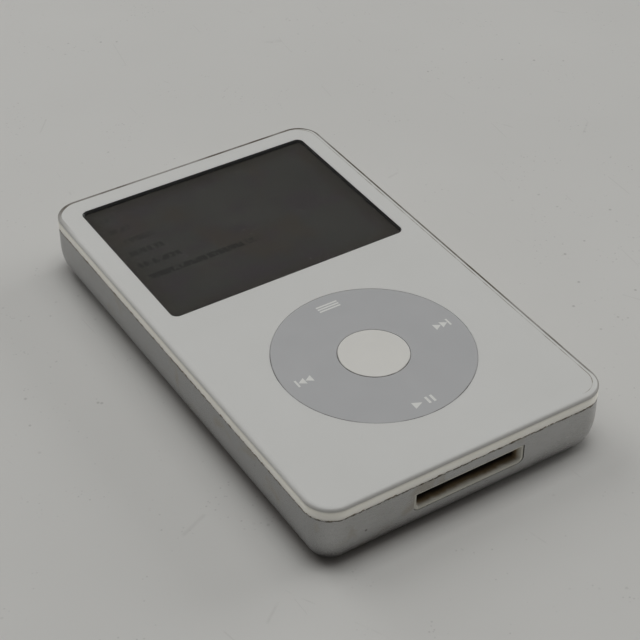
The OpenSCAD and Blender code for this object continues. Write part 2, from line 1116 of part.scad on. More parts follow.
module audio_screws() {
    color("silver")
        for (x = audio_screw_x)
            translate([x, audio_screw_y, 0]) {
                disc(screw_shank, audio_board_bottom - 1.4, audio_board_top + eps);
                disc(screw_head, audio_board_top, audio_board_top + screw_head_height);
            }
}

module jack_collar() {
    color("ivory")
        translate([jack_x, 0, 0])
            difference() {
                union() {
                    facing_end(end_back, end_face, end_level)
                        circle(collar_diameter / 2);
                    facing_end(end_back, end_seat, end_level)
                        circle(collar_diameter / 2 + 0.5);
                }
                facing_end(end_back - 1, end_face + 1, end_level)
                    circle(jack_bore / 2);
            }
}

module jack_barrel() {
    half_width = 3.4;
    color("black")
        difference() {
            box(
                jack_x, 2 * half_width, end_face - jack_depth - 0.5, end_back,
                audio_board_top, end_level + 2.8
            );
            translate([jack_x, 0, 0])
                facing_end(end_face - jack_depth, end_back + 1, end_level)
                    circle(jack_bore / 2);
        }
}

module jack_contacts() {
    color("gold")
        for (side = [-1, 1], y = [40, 43.5, 47])
            box(jack_x + side * 3.5, 0.2, y - 0.8, y + 0.8, audio_board_top, end_level + 1);
}

module hold_bezel() {
    color("ivory")
        translate([hold_x, 0, 0])
            difference() {
                union() {
                    facing_end(end_back, end_face, end_level)
                        stadium(hold_plate_length, hold_plate_height);
                    facing_end(end_back, end_seat - 0.2, end_level)
                        square([hold_flange_length, hold_flange_height], center = true);
                }
                facing_end(end_seat - 0.1, end_face + 1, end_level)
                    stadium(hold_knob_length + hold_travel + 0.6, 2.8);
                facing_end(end_back - 1, end_seat, end_level)
                    square([hold_slot_length, hold_slot_height], center = true);
            }
}

// Middle of the knob when the switch is off
hold_rest_x = hold_x - hold_travel / 2;

module hold_marker() {
    color("orangered")
        difference() {
            translate([hold_rest_x, 0, 0])
                facing_end(end_seat - 0.1, end_seat - 0.05, end_level)
                    square([hold_knob_length - 2.4, 2.2], center = true);
            translate([hold_x, 0, 0])
                facing_end(end_back - 1, end_seat, end_level)
                    square([hold_slot_length, hold_slot_height], center = true);
        }
}

module hold_slider() {
    rib_count = 5;
    rib_pitch = 0.9;
    knob_face = end_face - 0.2;
    color("white")
        translate([hold_rest_x, 0, 0]) {
            facing_end(end_seat + 0.02, knob_face, end_level)
                stadium(hold_knob_length, 2.4);
            for (i = [0:rib_count - 1])
                translate([(i - (rib_count - 1) / 2) * rib_pitch, 0, 0])
                    facing_end(knob_face - eps, knob_face + 0.15, end_level)
                        square([0.35, 1.7], center = true);
            facing_end(end_back - 0.3, end_seat + 0.1, end_level)
                square([2.0, 1.2], center = true);
            facing_end(end_back - 0.5, end_back - 0.1, end_level)
                square([7, 3.4], center = true);
        }
}

module hold_lever() {
    color("black")
        translate([hold_rest_x, 0, 0])
            facing_end(end_back - 1.6, end_back - 0.5, end_level)
                square([1.4, 1.2], center = true);
}

module hold_switch() {
    color("silver")
        difference() {
            box(hold_x, 9, 43.5, end_back - 0.9, audio_board_top, end_level + 1.8);
            translate([hold_x, 0, 0])
                facing_end(end_back - 1.8, end_back, end_level)
                    square([hold_travel + 1.8, 1.6], center = true);
        }
}

module audio_cable() {
    rise_y = 37.6;
    over = drive_top + 0.15;
    color("darkorange")
        ribbon(audio_cable_x, audio_cable_width, [
            [42, audio_board_top + 0.06],
            [rise_y, audio_board_top + 0.06],
            [rise_y, over],
            [5, over],
            [2.5, connector_level],
            [1, connector_level],
        ]);
}

// ---- Steel back ----

module clip_rails() {
    rail_x = case_width / 2 - steel_thickness;
    rail_half = 38;
    rail_bottom = 7.2;
    rail_top = 9.0;
    tab_count = 5;
    tab_length = 5;
    tab_pitch = 15.5;
    color("silver")
        for (side = [-1, 1]) {
            box(side * (rail_x - 0.15), 0.3, -rail_half, rail_half, rail_bottom, rail_top);
            for (i = [0:tab_count - 1])
                box(
                    side * (rail_x - 0.55), 0.6,
                    -rail_half + tab_length + tab_pitch * i,
                    -rail_half + 2 * tab_length + tab_pitch * i,
                    rail_top - 0.2, rail_top
                );
        }
}

module rear_shell() {
    slip = 0.05;
    color("silver")
        difference() {
            profiled_slab(
                case_width, case_length, corner_radius,
                concat(
                    lower_edge(back_edge_width, back_edge_height, 0),
                    [[0, seam_level]]
                )
            );
            profiled_slab(
                case_width - 2 * steel_thickness, case_length - 2 * steel_thickness,
                corner_radius - steel_thickness,
                concat(
                    lower_edge(
                        back_edge_width - steel_thickness,
                        back_edge_height - steel_thickness, steel_thickness
                    ),
                    [[0, seam_level + 1]]
                )
            );
            facing_end(-case_length / 2 - 1, -end_back, dock_level)
                dock_outline(dock_rim_width + slip);
            translate([jack_x, 0, 0])
                facing_end(end_back, case_length / 2 + 1, end_level)
                    circle(collar_diameter / 2 + slip);
            translate([hold_x, 0, 0])
                facing_end(end_back, case_length / 2 + 1, end_level)
                    stadium(hold_plate_length + 2 * slip, hold_plate_height + 2 * slip);
        }
}

// ---- What is drawn ----

front_bezel();
display_window();
display_mask();
display_gasket();
display_panel();
display_backlight();
display_frame();
display_cable();
click_wheel();
touch_sensor();
wheel_pivot_plate();
select_button();
dome_board();
snap_domes();
wheel_cable();
mid_frame();
frame_screws();
board_film();
logic_board();
board_chips();
board_shield();
board_capacitors();
board_connectors();
dock_rim();
dock_connector();
dock_shield();
dock_contacts();
drive_base();
drive_cover();
drive_screws();
spindle_motor();
spindle_hub();
platter();
platter_clamp();
arm_pivot_post();
actuator_arm();
head_slider();
voice_coil();
coil_magnets();
parking_ramp();
drive_board();
drive_cable();
drive_bumpers();
battery_cell();
battery_pad();
battery_cable();
audio_bracket();
audio_board();
audio_screws();
jack_collar();
jack_barrel();
jack_contacts();
hold_bezel();
hold_marker();
hold_slider();
hold_lever();
hold_switch();
audio_cable();
clip_rails();
rear_shell();
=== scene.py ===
"""A pocket digital audio player lying on its steel back, dressed over its CAD frame."""

import math

import bmesh
import bpy
from mathutils import Matrix, Vector


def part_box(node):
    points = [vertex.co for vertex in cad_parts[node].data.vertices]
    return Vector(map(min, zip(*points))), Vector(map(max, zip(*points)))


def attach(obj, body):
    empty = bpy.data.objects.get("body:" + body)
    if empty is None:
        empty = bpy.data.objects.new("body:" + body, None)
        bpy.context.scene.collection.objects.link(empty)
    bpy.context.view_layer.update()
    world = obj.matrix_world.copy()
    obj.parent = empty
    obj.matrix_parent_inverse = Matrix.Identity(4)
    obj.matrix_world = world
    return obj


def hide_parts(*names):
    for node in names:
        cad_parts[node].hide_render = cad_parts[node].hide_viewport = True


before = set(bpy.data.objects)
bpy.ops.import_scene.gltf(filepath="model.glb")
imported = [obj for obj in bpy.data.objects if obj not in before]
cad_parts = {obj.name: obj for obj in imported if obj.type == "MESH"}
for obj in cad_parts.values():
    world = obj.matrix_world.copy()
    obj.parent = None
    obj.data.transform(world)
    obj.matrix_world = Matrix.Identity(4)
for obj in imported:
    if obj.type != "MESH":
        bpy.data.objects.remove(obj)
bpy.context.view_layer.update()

# ---- Sizes, in millimetres, read from the CAD frame ----

MM = 0.001


def span(node):
    """Lowest and highest corner of a CAD node, in millimetres."""
    low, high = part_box(node)
    return [value / MM for value in low], [value / MM for value in high]


SHELL_LOW, SHELL_HIGH = span("rear_shell")
FRONT_LOW, FRONT_HIGH = span("front_bezel")
WINDOW_LOW, WINDOW_HIGH = span("display_window")
WHEEL_LOW, WHEEL_HIGH = span("click_wheel")
BUTTON_LOW, BUTTON_HIGH = span("select_button")
RIM_LOW, RIM_HIGH = span("dock_rim")
COLLAR_LOW, COLLAR_HIGH = span("jack_collar")
HOLD_LOW, HOLD_HIGH = span("hold_bezel")
KNOB_LOW, KNOB_HIGH = span("hold_slider")

CASE_WIDTH = SHELL_HIGH[0] - SHELL_LOW[0]
CASE_LENGTH = SHELL_HIGH[1] - SHELL_LOW[1]
SEAM = SHELL_HIGH[2]
FACE = FRONT_HIGH[2]
CORNER = 5.3
STEEL = 0.5
BACK_EDGE_WIDTH = 3.3
BACK_EDGE_HEIGHT = 7.0
FRONT_WIDTH = FRONT_HIGH[0] - FRONT_LOW[0]
FRONT_LENGTH = FRONT_HIGH[1] - FRONT_LOW[1]
FRONT_CORNER = CORNER - (CASE_WIDTH - FRONT_WIDTH) / 2
FRONT_EDGE_WIDTH = 1.05
FRONT_EDGE_HEIGHT = 0.6
FRONT_WALL = 1.3
FRONT_BOTTOM = SEAM + 0.04
SKIRT_GAP = 0.1
SIDE_FLARE = 0.9
SKIRT_BOTTOM = FRONT_LOW[2]
PLATE_BOTTOM = WINDOW_LOW[2]
WINDOW_WIDTH = WINDOW_HIGH[0] - WINDOW_LOW[0]
WINDOW_LENGTH = WINDOW_HIGH[1] - WINDOW_LOW[1]
WINDOW_Y = (WINDOW_HIGH[1] + WINDOW_LOW[1]) / 2
WINDOW_CORNER = 1.5
WHEEL_Y = (WHEEL_HIGH[1] + WHEEL_LOW[1]) / 2
WHEEL_TOP = WHEEL_HIGH[2]
WHEEL_RADIUS = 19.1
WHEEL_HOLE = WHEEL_RADIUS + 0.03
BUTTON_GAP = 0.08
BUTTON_RADIUS = 6.75
BOSS_X = 26.5
BOSS_ROWS = (-46, WHEEL_Y, 1.8)
BOSS_RADIUS = 1.5
BOSS_HOLE = 0.55
END_LEVEL = (COLLAR_HIGH[2] + COLLAR_LOW[2]) / 2
JACK_X = (COLLAR_HIGH[0] + COLLAR_LOW[0]) / 2
COLLAR_FLANGE = 0.5
COLLAR_RADIUS = (COLLAR_HIGH[0] - COLLAR_LOW[0]) / 2 - COLLAR_FLANGE
JACK_RADIUS = 1.8
HOLD_X = (HOLD_HIGH[0] + HOLD_LOW[0]) / 2
HOLD_PLATE = (11.6, 3.8)
HOLD_FLANGE = (HOLD_HIGH[0] - HOLD_LOW[0], HOLD_HIGH[2] - HOLD_LOW[2])
HOLD_SLOT = (5.4, 1.4)
HOLD_TRAVEL = 3.0
KNOB_SIZE = (6.6, 2.4)
KNOB_X = (KNOB_HIGH[0] + KNOB_LOW[0]) / 2
DOCK_LEVEL = (RIM_HIGH[2] + RIM_LOW[2]) / 2
DOCK_WIDTH = 21.6
DOCK_HEIGHT = 2.6
DOCK_RIM = 1.0
DOCK_FLARE = 0.45
DOCK_FLARE_DEPTH = 0.8
END_FACE = COLLAR_HIGH[1]
END_BACK = COLLAR_LOW[1]
FURTHEST_LEAN = math.cos(math.radians(46))
BLACK_INK = (0.006, 0.006, 0.006)
DUST_CENTRE = (-19.0, WINDOW_Y + 12.5, FACE - 1.3)
GHOST_ROWS = (3.5, 4.8, 7.6, 7.6, 9.2, 24.6)
GHOST_TOP = 15.9
GHOST_PITCH = 4.25
WALL_GLOW = 0.085
SKY_STRENGTH = 0.121
TABLE_HALF = 1500
TABLE_BOTTOM = -10
TABLE_TOP = -0.005

# ---- Mesh helpers, working in millimetres ----


def rounded_outline(width, length, radius, steps=18):
    """Points of a rectangle with round corners, anticlockwise."""
    points = []
    for corner, (side_x, side_y) in enumerate(((1, 1), (-1, 1), (-1, -1), (1, -1))):
        for step in range(steps + 1):
            angle = math.radians(90 * (corner + step / steps))
            points.append(
                (
                    side_x * (width / 2 - radius) + radius * math.cos(angle),
                    side_y * (length / 2 - radius) + radius * math.sin(angle),
                )
            )
    return points


def circle_outline(radius, steps=128):
    """Points of a circle, anticlockwise."""
    turns = [2 * math.pi * step / steps for step in range(steps)]
    return [(radius * math.cos(turn), radius * math.sin(turn)) for turn in turns]


def dock_outline(margin):
    """The dock opening, grown by a margin: its lower corners are cut off."""
    half = DOCK_WIDTH / 2 + margin
    rise = DOCK_HEIGHT / 2 + margin * 0.8
    cut = 0.35 + margin * 0.35
    return [
        (half, -rise + cut),
        (half, rise),
        (-half, rise),
        (-half, -rise + cut),
        (-half + cut, -rise),
        (half - cut, -rise),
    ]


def rounded_corners(points, radius, steps=6):
    """Rounds each corner of an outline: blunt corners start as far out as square ones."""
    rounded = []
    for index, point in enumerate(points):
        corner = Vector(point)
        before = (Vector(points[index - 1]) - corner).normalized()
        after = (Vector(points[(index + 1) % len(points)]) - corner).normalized()
        for step in range(steps + 1):
            share = step / steps
            start = corner + before * radius * (1 - share)
            end = corner + after * radius * share
            rounded.append(tuple(start.lerp(end, share)))
    return rounded


def at_height(outline, z, x_shift=0.0, y_shift=0.0):
    """A flat outline lifted to a height, and moved if need be."""
    return [(x + x_shift, y + y_shift, z) for x, y in outline]


def facing_y(outline, y, x_shift=0.0, z_shift=0.0):
    """A flat outline stood upright: its width along X and its height along Z."""
    return [(x + x_shift, y, height + z_shift) for x, height in outline]


def add_skin(bm, loops, closed=False):
    """Joins loops of equal length by faces. Its ends get flat faces, or join each other."""
    rings = [[bm.verts.new(point) for point in loop] for loop in loops]
    followers = rings[1:] + rings[:1] if closed else rings[1:]
    for lower, upper in zip(rings, followers):
        for index in range(len(lower)):
            after = (index + 1) % len(lower)
            bm.faces.new((lower[index], lower[after], upper[after], upper[index]))
    if not closed:
        bm.faces.new(reversed(rings[0]))
        bm.faces.new(rings[-1])


def as_object(name, bm):
    """Puts a bmesh into a new object of the scene, with its faces turned outwards."""
    bmesh.ops.recalc_face_normals(bm, faces=bm.faces)
    mesh = bpy.data.meshes.new(name)
    bm.to_mesh(mesh)
    bm.free()
    made = bpy.data.objects.new(name, mesh)
    bpy.context.collection.objects.link(made)
    return made


def loft(name, loops, closed=False):
    """A skin through loops of equal length, as an object of its own."""
    bm = bmesh.new()
    add_skin(bm, loops, closed)
    bmesh.ops.remove_doubles(bm, verts=bm.verts, dist=1e-5)
    return as_object(name, bm)


def box_solid(name, low, high):
    """A plain box between two corners."""
    outline = [(high[0], high[1]), (low[0], high[1]), (low[0], low[1]), (high[0], low[1])]
    return loft(name, [at_height(outline, low[2]), at_height(outline, high[2])])


def lathe(name, profile, centre=(0, 0), steps=128):
    """Turns a closed profile of (radius, height) points about a vertical axis."""
    loops = [at_height(circle_outline(radius, steps), z, *centre) for radius, z in profile]
    return loft(name, loops, closed=True)


def combine(target, other, operation):
    """Cuts another solid from the target, or adds it, and deletes the other."""
    modifier = target.modifiers.new("combine", "BOOLEAN")
    modifier.operation = operation
    modifier.solver = "EXACT"
    modifier.object = other
    evaluated = target.evaluated_get(bpy.context.evaluated_depsgraph_get())
    mesh = bpy.data.meshes.new_from_object(evaluated)
    target.modifiers.clear()
    target.data = mesh
    bpy.data.objects.remove(other)


def arc(start, end, steps):
    """Angles from start to end, in radians, both given in degrees."""
    return [math.radians(start + (end - start) * step / steps) for step in range(steps + 1)]


def softened(size, start, end, steps):
    """A rounded edge as steps of (how far in, how far below its top)."""
    return [
        (size * (1 - math.cos(angle)), size * (1 - math.sin(angle)))
        for angle in arc(start, end, steps)
    ]


def finish_piece(piece, body, material, nodes=(), smooth=30, normals=None):
    """Scales a piece to metres, smooths it, and hangs it on its body and material."""
    mesh = piece.data
    if normals:
        shade_by_rule(mesh, normals)
    else:
        mesh.polygons.foreach_set("use_smooth", [True] * len(mesh.polygons))
        mesh.set_sharp_from_angle(angle=math.radians(smooth))
    mesh.transform(Matrix.Scale(MM, 4))
    mesh.materials.clear()
    mesh.materials.append(material)
    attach(piece, body)
    if nodes:
        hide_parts(*nodes)
    return piece


def shade_by_rule(mesh, rule):
    """Gives each corner the normal a rule finds there, unless that leans far off its face."""
    mesh.polygons.foreach_set("use_smooth", [True] * len(mesh.polygons))
    corner_normals = [None] * len(mesh.loops)
    for polygon in mesh.polygons:
        for loop_index in polygon.loop_indices:
            vertex = mesh.vertices[mesh.loops[loop_index].vertex_index]
            normal = rule(vertex.co)
            if normal is None or normal.dot(polygon.normal) < FURTHEST_LEAN:
                normal = polygon.normal
            corner_normals[loop_index] = tuple(normal)
    mesh.normals_split_custom_set(corner_normals)


# ---- Material helpers ----


class Shader:
    """One procedural material, built node by node."""

    def __init__(self, name):
        self.material = bpy.data.materials.new(name)
        self.material.use_nodes = True
        self.tree = self.material.node_tree
        self.tree.nodes.clear()
        self.surface = self.node("BsdfPrincipled")
        self.node("OutputMaterial", self.surface.outputs[0])
        coordinates = self.node("TexCoord")
        self.place = self.scaled(coordinates.outputs["Object"], 1 / MM)

    def put(self, value, socket):
        """Sets a socket to a number or colour, or links it to another socket."""
        if isinstance(value, bpy.types.NodeSocket):
            self.tree.links.new(value, socket)
        elif isinstance(value, (tuple, list)) and len(value) == 3 and len(socket.default_value) == 4:
            socket.default_value = (*value, 1.0)
        else:
            socket.default_value = value

    def node(self, kind, *values, **settings):
        """A new node with these settings, and these values in its first sockets."""
        made = self.tree.nodes.new("ShaderNode" + kind)
        for name, setting in settings.items():
            setattr(made, name, setting)
        for value, socket in zip(values, made.inputs):
            self.put(value, socket)
        return made

    def fill(self, node, **values):
        """Puts values in a node's sockets by name, with _ for a space."""
        for name, value in values.items():
            self.put(value, node.inputs[name.replace("_", " ")])

    def set(self, **values):
        """Puts values in the surface's sockets by name."""
        self.fill(self.surface, **values)

    def math(self, operation, *values):
        return self.node("Math", *values, operation=operation).outputs[0]

    def times(self, product, *others):
        """The product of two or more values."""
        for other in others:
            product = self.math("MULTIPLY", product, other)
        return product

    def vector(self, operation, *values):
        made = self.node("VectorMath", *values, operation=operation)
        return made.outputs["Value" if operation == "LENGTH" else "Vector"]

    def scaled(self, vector, factor):
        made = self.node("VectorMath", vector, operation="SCALE")
        self.fill(made, Scale=factor)
        return made.outputs["Vector"]

    def stretched(self, factors, turn=0.0):
        """The place in millimetres, turned about Z and scaled along each axis."""
        made = self.node("Mapping", self.place)
        self.fill(made, Rotation=(0, 0, math.radians(turn)), Scale=factors)
        return made.outputs["Vector"]

    def axes(self, vector):
        return self.node("SeparateXYZ", vector).outputs

    def noise(self, scale, detail=3.0, vector=None, distortion=0.0):
        made = self.node("TexNoise", vector or self.place)
        self.fill(made, Scale=scale, Detail=detail, Distortion=distortion)
        return made.outputs["Fac"]

    def cells(self, scale, vector=None, feature="F1"):
        made = self.node("TexVoronoi", vector or self.place, feature=feature)
        self.fill(made, Scale=scale)
        return made.outputs["Distance"]

    def between(self, value, low, high, out_low=0.0, out_high=1.0):
        """Eases a value from out_low at low to out_high at high."""
        made = self.node("MapRange", value, interpolation_type="SMOOTHSTEP")
        self.fill(made, From_Min=low, From_Max=high, To_Min=out_low, To_Max=out_high)
        return made.outputs["Result"]

    def falling(self, value, low, high):
        """Eases a value from one at low to nothing at high."""
        return self.between(value, low, high, 1.0, 0.0)

    def mix(self, factor, first, second):
        made = self.node("Mix", factor, data_type="RGBA")
        self.put(first, made.inputs[6])
        self.put(second, made.inputs[7])
        return made.outputs[2]

    def bump(self, height, strength, distance):
        made = self.node("Bump")
        self.fill(made, Strength=strength, Distance=distance * MM, Height=height)
        self.set(Normal=made.outputs[0])

    def inset(self, width, length, radius, centre_y=0.0):
        """Distance inside an upright outline with round corners, in millimetres."""
        moved = self.vector("SUBTRACT", self.place, (0.0, centre_y, 0.0))
        core = (width / 2 - radius, length / 2 - radius, 1000.0)
        past = self.vector("SUBTRACT", self.vector("ABSOLUTE", moved), core)
        outside = self.vector("LENGTH", self.vector("MAXIMUM", past, (0.0, 0.0, 0.0)))
        x, y, _ = self.axes(past)
        within = self.math("MINIMUM", self.math("MAXIMUM", x, y), 0.0)
        return self.math("SUBTRACT", radius, self.math("ADD", outside, within))


def plastic(name, colour, roughness=0.4, grain=0.03, mottle=0.04, coat=0.0):
    """Moulded plastic: a fine grain, faint mottling and uneven gloss."""
    shader = Shader(name)
    dark = tuple(channel * (1 - mottle) for channel in colour)
    shader.set(Base_Color=shader.mix(shader.noise(0.35, 4.0), dark, colour))
    wear = shader.noise(2.5, 5.0)
    shader.set(Roughness=shader.between(wear, 0.3, 0.7, roughness * 0.85, roughness * 1.15))
    shader.set(Coat_Weight=coat, Coat_Roughness=0.12)
    shader.bump(shader.noise(14.0, 2.0), 0.25, grain)
    return shader.material


def metal(name, colour, roughness=0.35, stretch=(0.4, 6.0, 6.0), grain=0.01):
    """Sheet or turned metal: drawn grain, blotchy gloss and faint tarnish."""
    shader = Shader(name)
    drawn = shader.noise(3.0, 4.0, shader.stretched(stretch))
    dull = tuple(channel * 0.86 for channel in colour)
    shader.set(Base_Color=shader.mix(shader.noise(0.25, 3.0), dull, colour), Metallic=1.0)
    shader.set(Roughness=shader.between(drawn, 0.3, 0.7, roughness * 0.8, roughness * 1.25))
    shader.bump(drawn, 0.3, grain)
    return shader.material


def circuit_board(name, colour):
    """Solder-masked board: tracks a shade lighter than the resin, and vias."""
    shader = Shader(name)
    tracks = shader.node("TexBrick", shader.stretched((1.0, 1.0, 1.0), turn=45))
    shader.fill(tracks, Scale=0.9, Mortar_Size=0.05, Brick_Width=2.2, Row_Height=0.6)
    lighter = tuple(min(1.0, channel * 1.7 + 0.01) for channel in colour)
    masked = shader.mix(tracks.outputs["Fac"], colour, lighter)
    via = shader.falling(shader.cells(0.35), 0.1, 0.16)
    shader.set(Base_Color=shader.mix(via, masked, (0.55, 0.5, 0.35)), Roughness=0.35)
    shader.set(Coat_Weight=0.4, Coat_Roughness=0.2)
    shader.bump(tracks.outputs["Fac"], 0.3, 0.03)
    return shader.material


def flat_cable(name):
    """Amber film with copper conductors along its length."""
    shader = Shader(name)
    x, _, _ = shader.axes(shader.place)
    lines = shader.math("SINE", shader.times(x, 2 * math.pi / 0.5))
    amber = (0.42, 0.17, 0.035)
    copper = (0.62, 0.30, 0.10)
    shader.set(Base_Color=shader.mix(shader.between(lines, -0.2, 0.2), amber, copper))
    shader.set(Roughness=shader.between(shader.noise(1.5, 3.0), 0.3, 0.7, 0.28, 0.42))
    shader.bump(lines, 0.2, 0.02)
    return shader.material


def band(shader, value, rise, fall):
    """One between two limits of a value, easing up over rise and down over fall."""
    rising = shader.between(value, *rise)
    return shader.times(rising, shader.falling(value, *fall))


# ---- Materials of the outside ----


def front_material():
    """White plastic, inked black in the well and grimy at the seam, with light and shade painted in:
    a wall creamier and lighter than the face, shade on the rounded edge and along the far edges, and
    a faint glow on the wall.
    """
    shader = Shader("front_plastic")
    across, along, height = shader.axes(shader.place)
    face = shader.mix(shader.noise(0.07, 3.0), (0.69, 0.69, 0.665), (0.73, 0.73, 0.71))
    # The wall is creamier than the face and also painted lighter, standing in for light passing
    # through the clear outer layer.
    wall = shader.mix(shader.noise(0.22, 4.0), (0.86, 0.83, 0.74), (0.93, 0.91, 0.84))
    colour = shader.mix(shader.falling(height, FACE - 0.9, FACE - 0.45), face, wall)
    inset = shader.inset(FRONT_WIDTH, FRONT_LENGTH, FRONT_CORNER)

    # Painted shade on the rounded edge, stronger at the dock end.
    ring = shader.times(
        shader.falling(inset, 1.1, 1.3),
        band(shader, height, (FACE - 0.85, FACE - 0.5), (FACE - 0.3, FACE - 0.02)),
    )
    dock_end = shader.between(along, 3 - FRONT_LENGTH / 2, 9 - FRONT_LENGTH / 2, 0.4, 0.1)
    colour = shader.mix(shader.times(ring, dock_end), colour, (0.30, 0.28, 0.26))

    # Painted shade: a brown-tinted dark line along the headphone end and the right side, and a finer
    # one inside it.
    far_sides = shader.between(
        shader.math(
            "ADD",
            shader.math("DIVIDE", across, FRONT_WIDTH / 2),
            shader.math("DIVIDE", along, FRONT_LENGTH / 2),
        ),
        -0.25,
        0.1,
    )
    uneven = shader.between(shader.noise(0.12, 3.0), 0.35, 0.65, 0.6, 0.97)
    end_of_line = shader.between(along, FRONT_LENGTH / 2 - 4, FRONT_LENGTH / 2 - 1.5, 0.7, 1.0)
    near_dock = shader.between(along, 2.5 - FRONT_LENGTH / 2, 6 - FRONT_LENGTH / 2, 0.42, 0.0)
    end_of_line = shader.math("SUBTRACT", end_of_line, near_dock)
    past_line = shader.math("SUBTRACT", inset, end_of_line)
    line_start = shader.between(inset, 0.02, 0.06)
    line_end = shader.falling(past_line, 0.0, 0.12)
    line = shader.times(line_start, far_sides, line_end, uneven)
    colour = shader.mix(line, colour, (0.06, 0.04, 0.017))
    # The finer line is painted shade too, just inside the rounded edge on the right side.
    hairline = band(shader, inset, (1.16, 1.21), (1.3, 1.37))
    right = shader.between(across, FRONT_WIDTH / 2 - 6, FRONT_WIDTH / 2 - 3)
    broken = shader.between(shader.noise(0.3, 4.0), 0.42, 0.58, 0.25, 0.75)
    hairline = shader.times(hairline, shader.times(right, broken))
    colour = shader.mix(hairline, colour, (0.15, 0.105, 0.05))

    # Grime creeping up from the seam.
    grime_and_gap_shade = shader.noise(0.8, 5.0, distortion=0.6)
    reach = shader.math("ADD", FRONT_BOTTOM, shader.between(grime_and_gap_shade, 0.42, 0.7, 0.0, 0.3))
    soiled = shader.between(shader.math("SUBTRACT", height, reach), 0.0, 0.08, 0.85, 0.0)
    colour = shader.mix(soiled, colour, (0.17, 0.12, 0.06))

    well = shader.inset(WINDOW_WIDTH, WINDOW_LENGTH, WINDOW_CORNER, WINDOW_Y)
    inked = shader.times(
        shader.between(well, -0.2, -0.16),
        shader.falling(height, FACE - 0.12, FACE - 0.08),
    )
    colour = shader.mix(inked, colour, BLACK_INK)
    shader.set(Base_Color=colour, Specular_IOR_Level=0.4, Coat_Weight=0.1, Coat_Roughness=0.3)

    # Painted glow: the wall emits faintly, standing in for light passing through the clear outer
    # layer.
    glow_band = band(shader, height, (FRONT_BOTTOM + 0.2, FRONT_BOTTOM + 0.5), (FACE - 1.2, FACE - 0.7))
    shader.set(Emission_Color=colour, Emission_Strength=shader.times(glow_band, WALL_GLOW))
    shader.set(Subsurface_Weight=0.25, Subsurface_Radius=(1.0, 1.0, 1.0))
    shader.set(Subsurface_Scale=1.2 * MM)
    shader.set(Roughness=shader.between(shader.noise(1.2, 6.0), 0.3, 0.7, 0.42, 0.52))
    scratches = shader.cells(0.9, shader.stretched((1.0, 0.05, 1.0), turn=37), "DISTANCE_TO_EDGE")
    fine = shader.falling(scratches, 0.0, 0.02)
    shader.bump(shader.math("ADD", fine, shader.noise(6.0, 2.0)), 0.12, 0.01)
    return shader.material


def steel_material():
    """Polished steel worn to a satin, smeared and tarnished, painted darker along its left long side,
    with grime along the seam.
    """
    shader = Shader("worn_steel")
    across, _, height = shader.axes(shader.place)
    smears = shader.noise(0.06, 4.0, distortion=0.8)
    colour = shader.mix(smears, (0.38, 0.375, 0.365), (0.54, 0.54, 0.54))
    # Painted shade: the left long side is darker.
    left_side_shade = shader.between(across, -CASE_WIDTH / 2, 5 - CASE_WIDTH / 2, 0.75, 0.0)
    colour = shader.mix(left_side_shade, colour, (0.36, 0.36, 0.36))
    tarnish = shader.noise(0.16, 4.0, distortion=0.6)
    stained = shader.between(tarnish, 0.56, 0.72, 0.0, 0.55)
    colour = shader.mix(stained, colour, (0.36, 0.325, 0.27))
    grime_and_gap_shade = shader.noise(0.9, 5.0, distortion=0.5)
    low_edge = shader.between(height, SEAM - 0.3, SEAM - 0.02, 0.0, 1.0)
    speckled = shader.times(low_edge, shader.between(grime_and_gap_shade, 0.42, 0.62))
    colour = shader.mix(shader.times(speckled, 0.85), colour, (0.07, 0.05, 0.028))
    pits = shader.times(
        shader.falling(shader.cells(0.3), 0.05, 0.12),
        shader.between(shader.noise(0.12, 2.0), 0.55, 0.62),
    )
    colour = shader.mix(shader.times(pits, 0.7), colour, (0.12, 0.10, 0.09))
    shader.set(Base_Color=colour, Metallic=1.0)
    hairlines = shader.noise(5.0, 5.0, shader.stretched((0.12, 1.0, 2.5), turn=12))
    crossing = shader.noise(5.0, 5.0, shader.stretched((1.0, 0.1, 2.5), turn=-18))
    worn = shader.math("ADD", shader.between(hairlines, 0.35, 0.7), smears)
    shader.set(Roughness=shader.between(worn, 0.3, 1.5, 0.24, 0.44))
    shader.bump(shader.math("ADD", hairlines, crossing), 0.25, 0.014)
    return shader.material


def window_material():
    """Clear hard plastic with a few fine scratches."""
    shader = Shader("clear_window")
    shader.set(Base_Color=(0.93, 0.93, 0.92), Transmission_Weight=1.0, IOR=1.49)
    scuffs = shader.noise(0.5, 6.0, distortion=0.4)
    shader.set(Roughness=shader.between(scuffs, 0.45, 0.75, 0.02, 0.09))
    return shader.material


def ghost_row(shader, across, along, level, start, length):
    """Where one row of a burnt-in list shows: uneven upright strokes, without letters."""
    strokes = shader.noise(1.6, 2.0, shader.stretched((1.0, 0.3, 1.0)))
    sideways = band(shader, across, (start, start + 0.4), (start + length, start + length + 0.4))
    offset = shader.math("ABSOLUTE", shader.math("SUBTRACT", along, level))
    upright = shader.falling(offset, 0.65, 0.95)
    return shader.times(sideways, upright, shader.between(strokes, 0.40, 0.52))


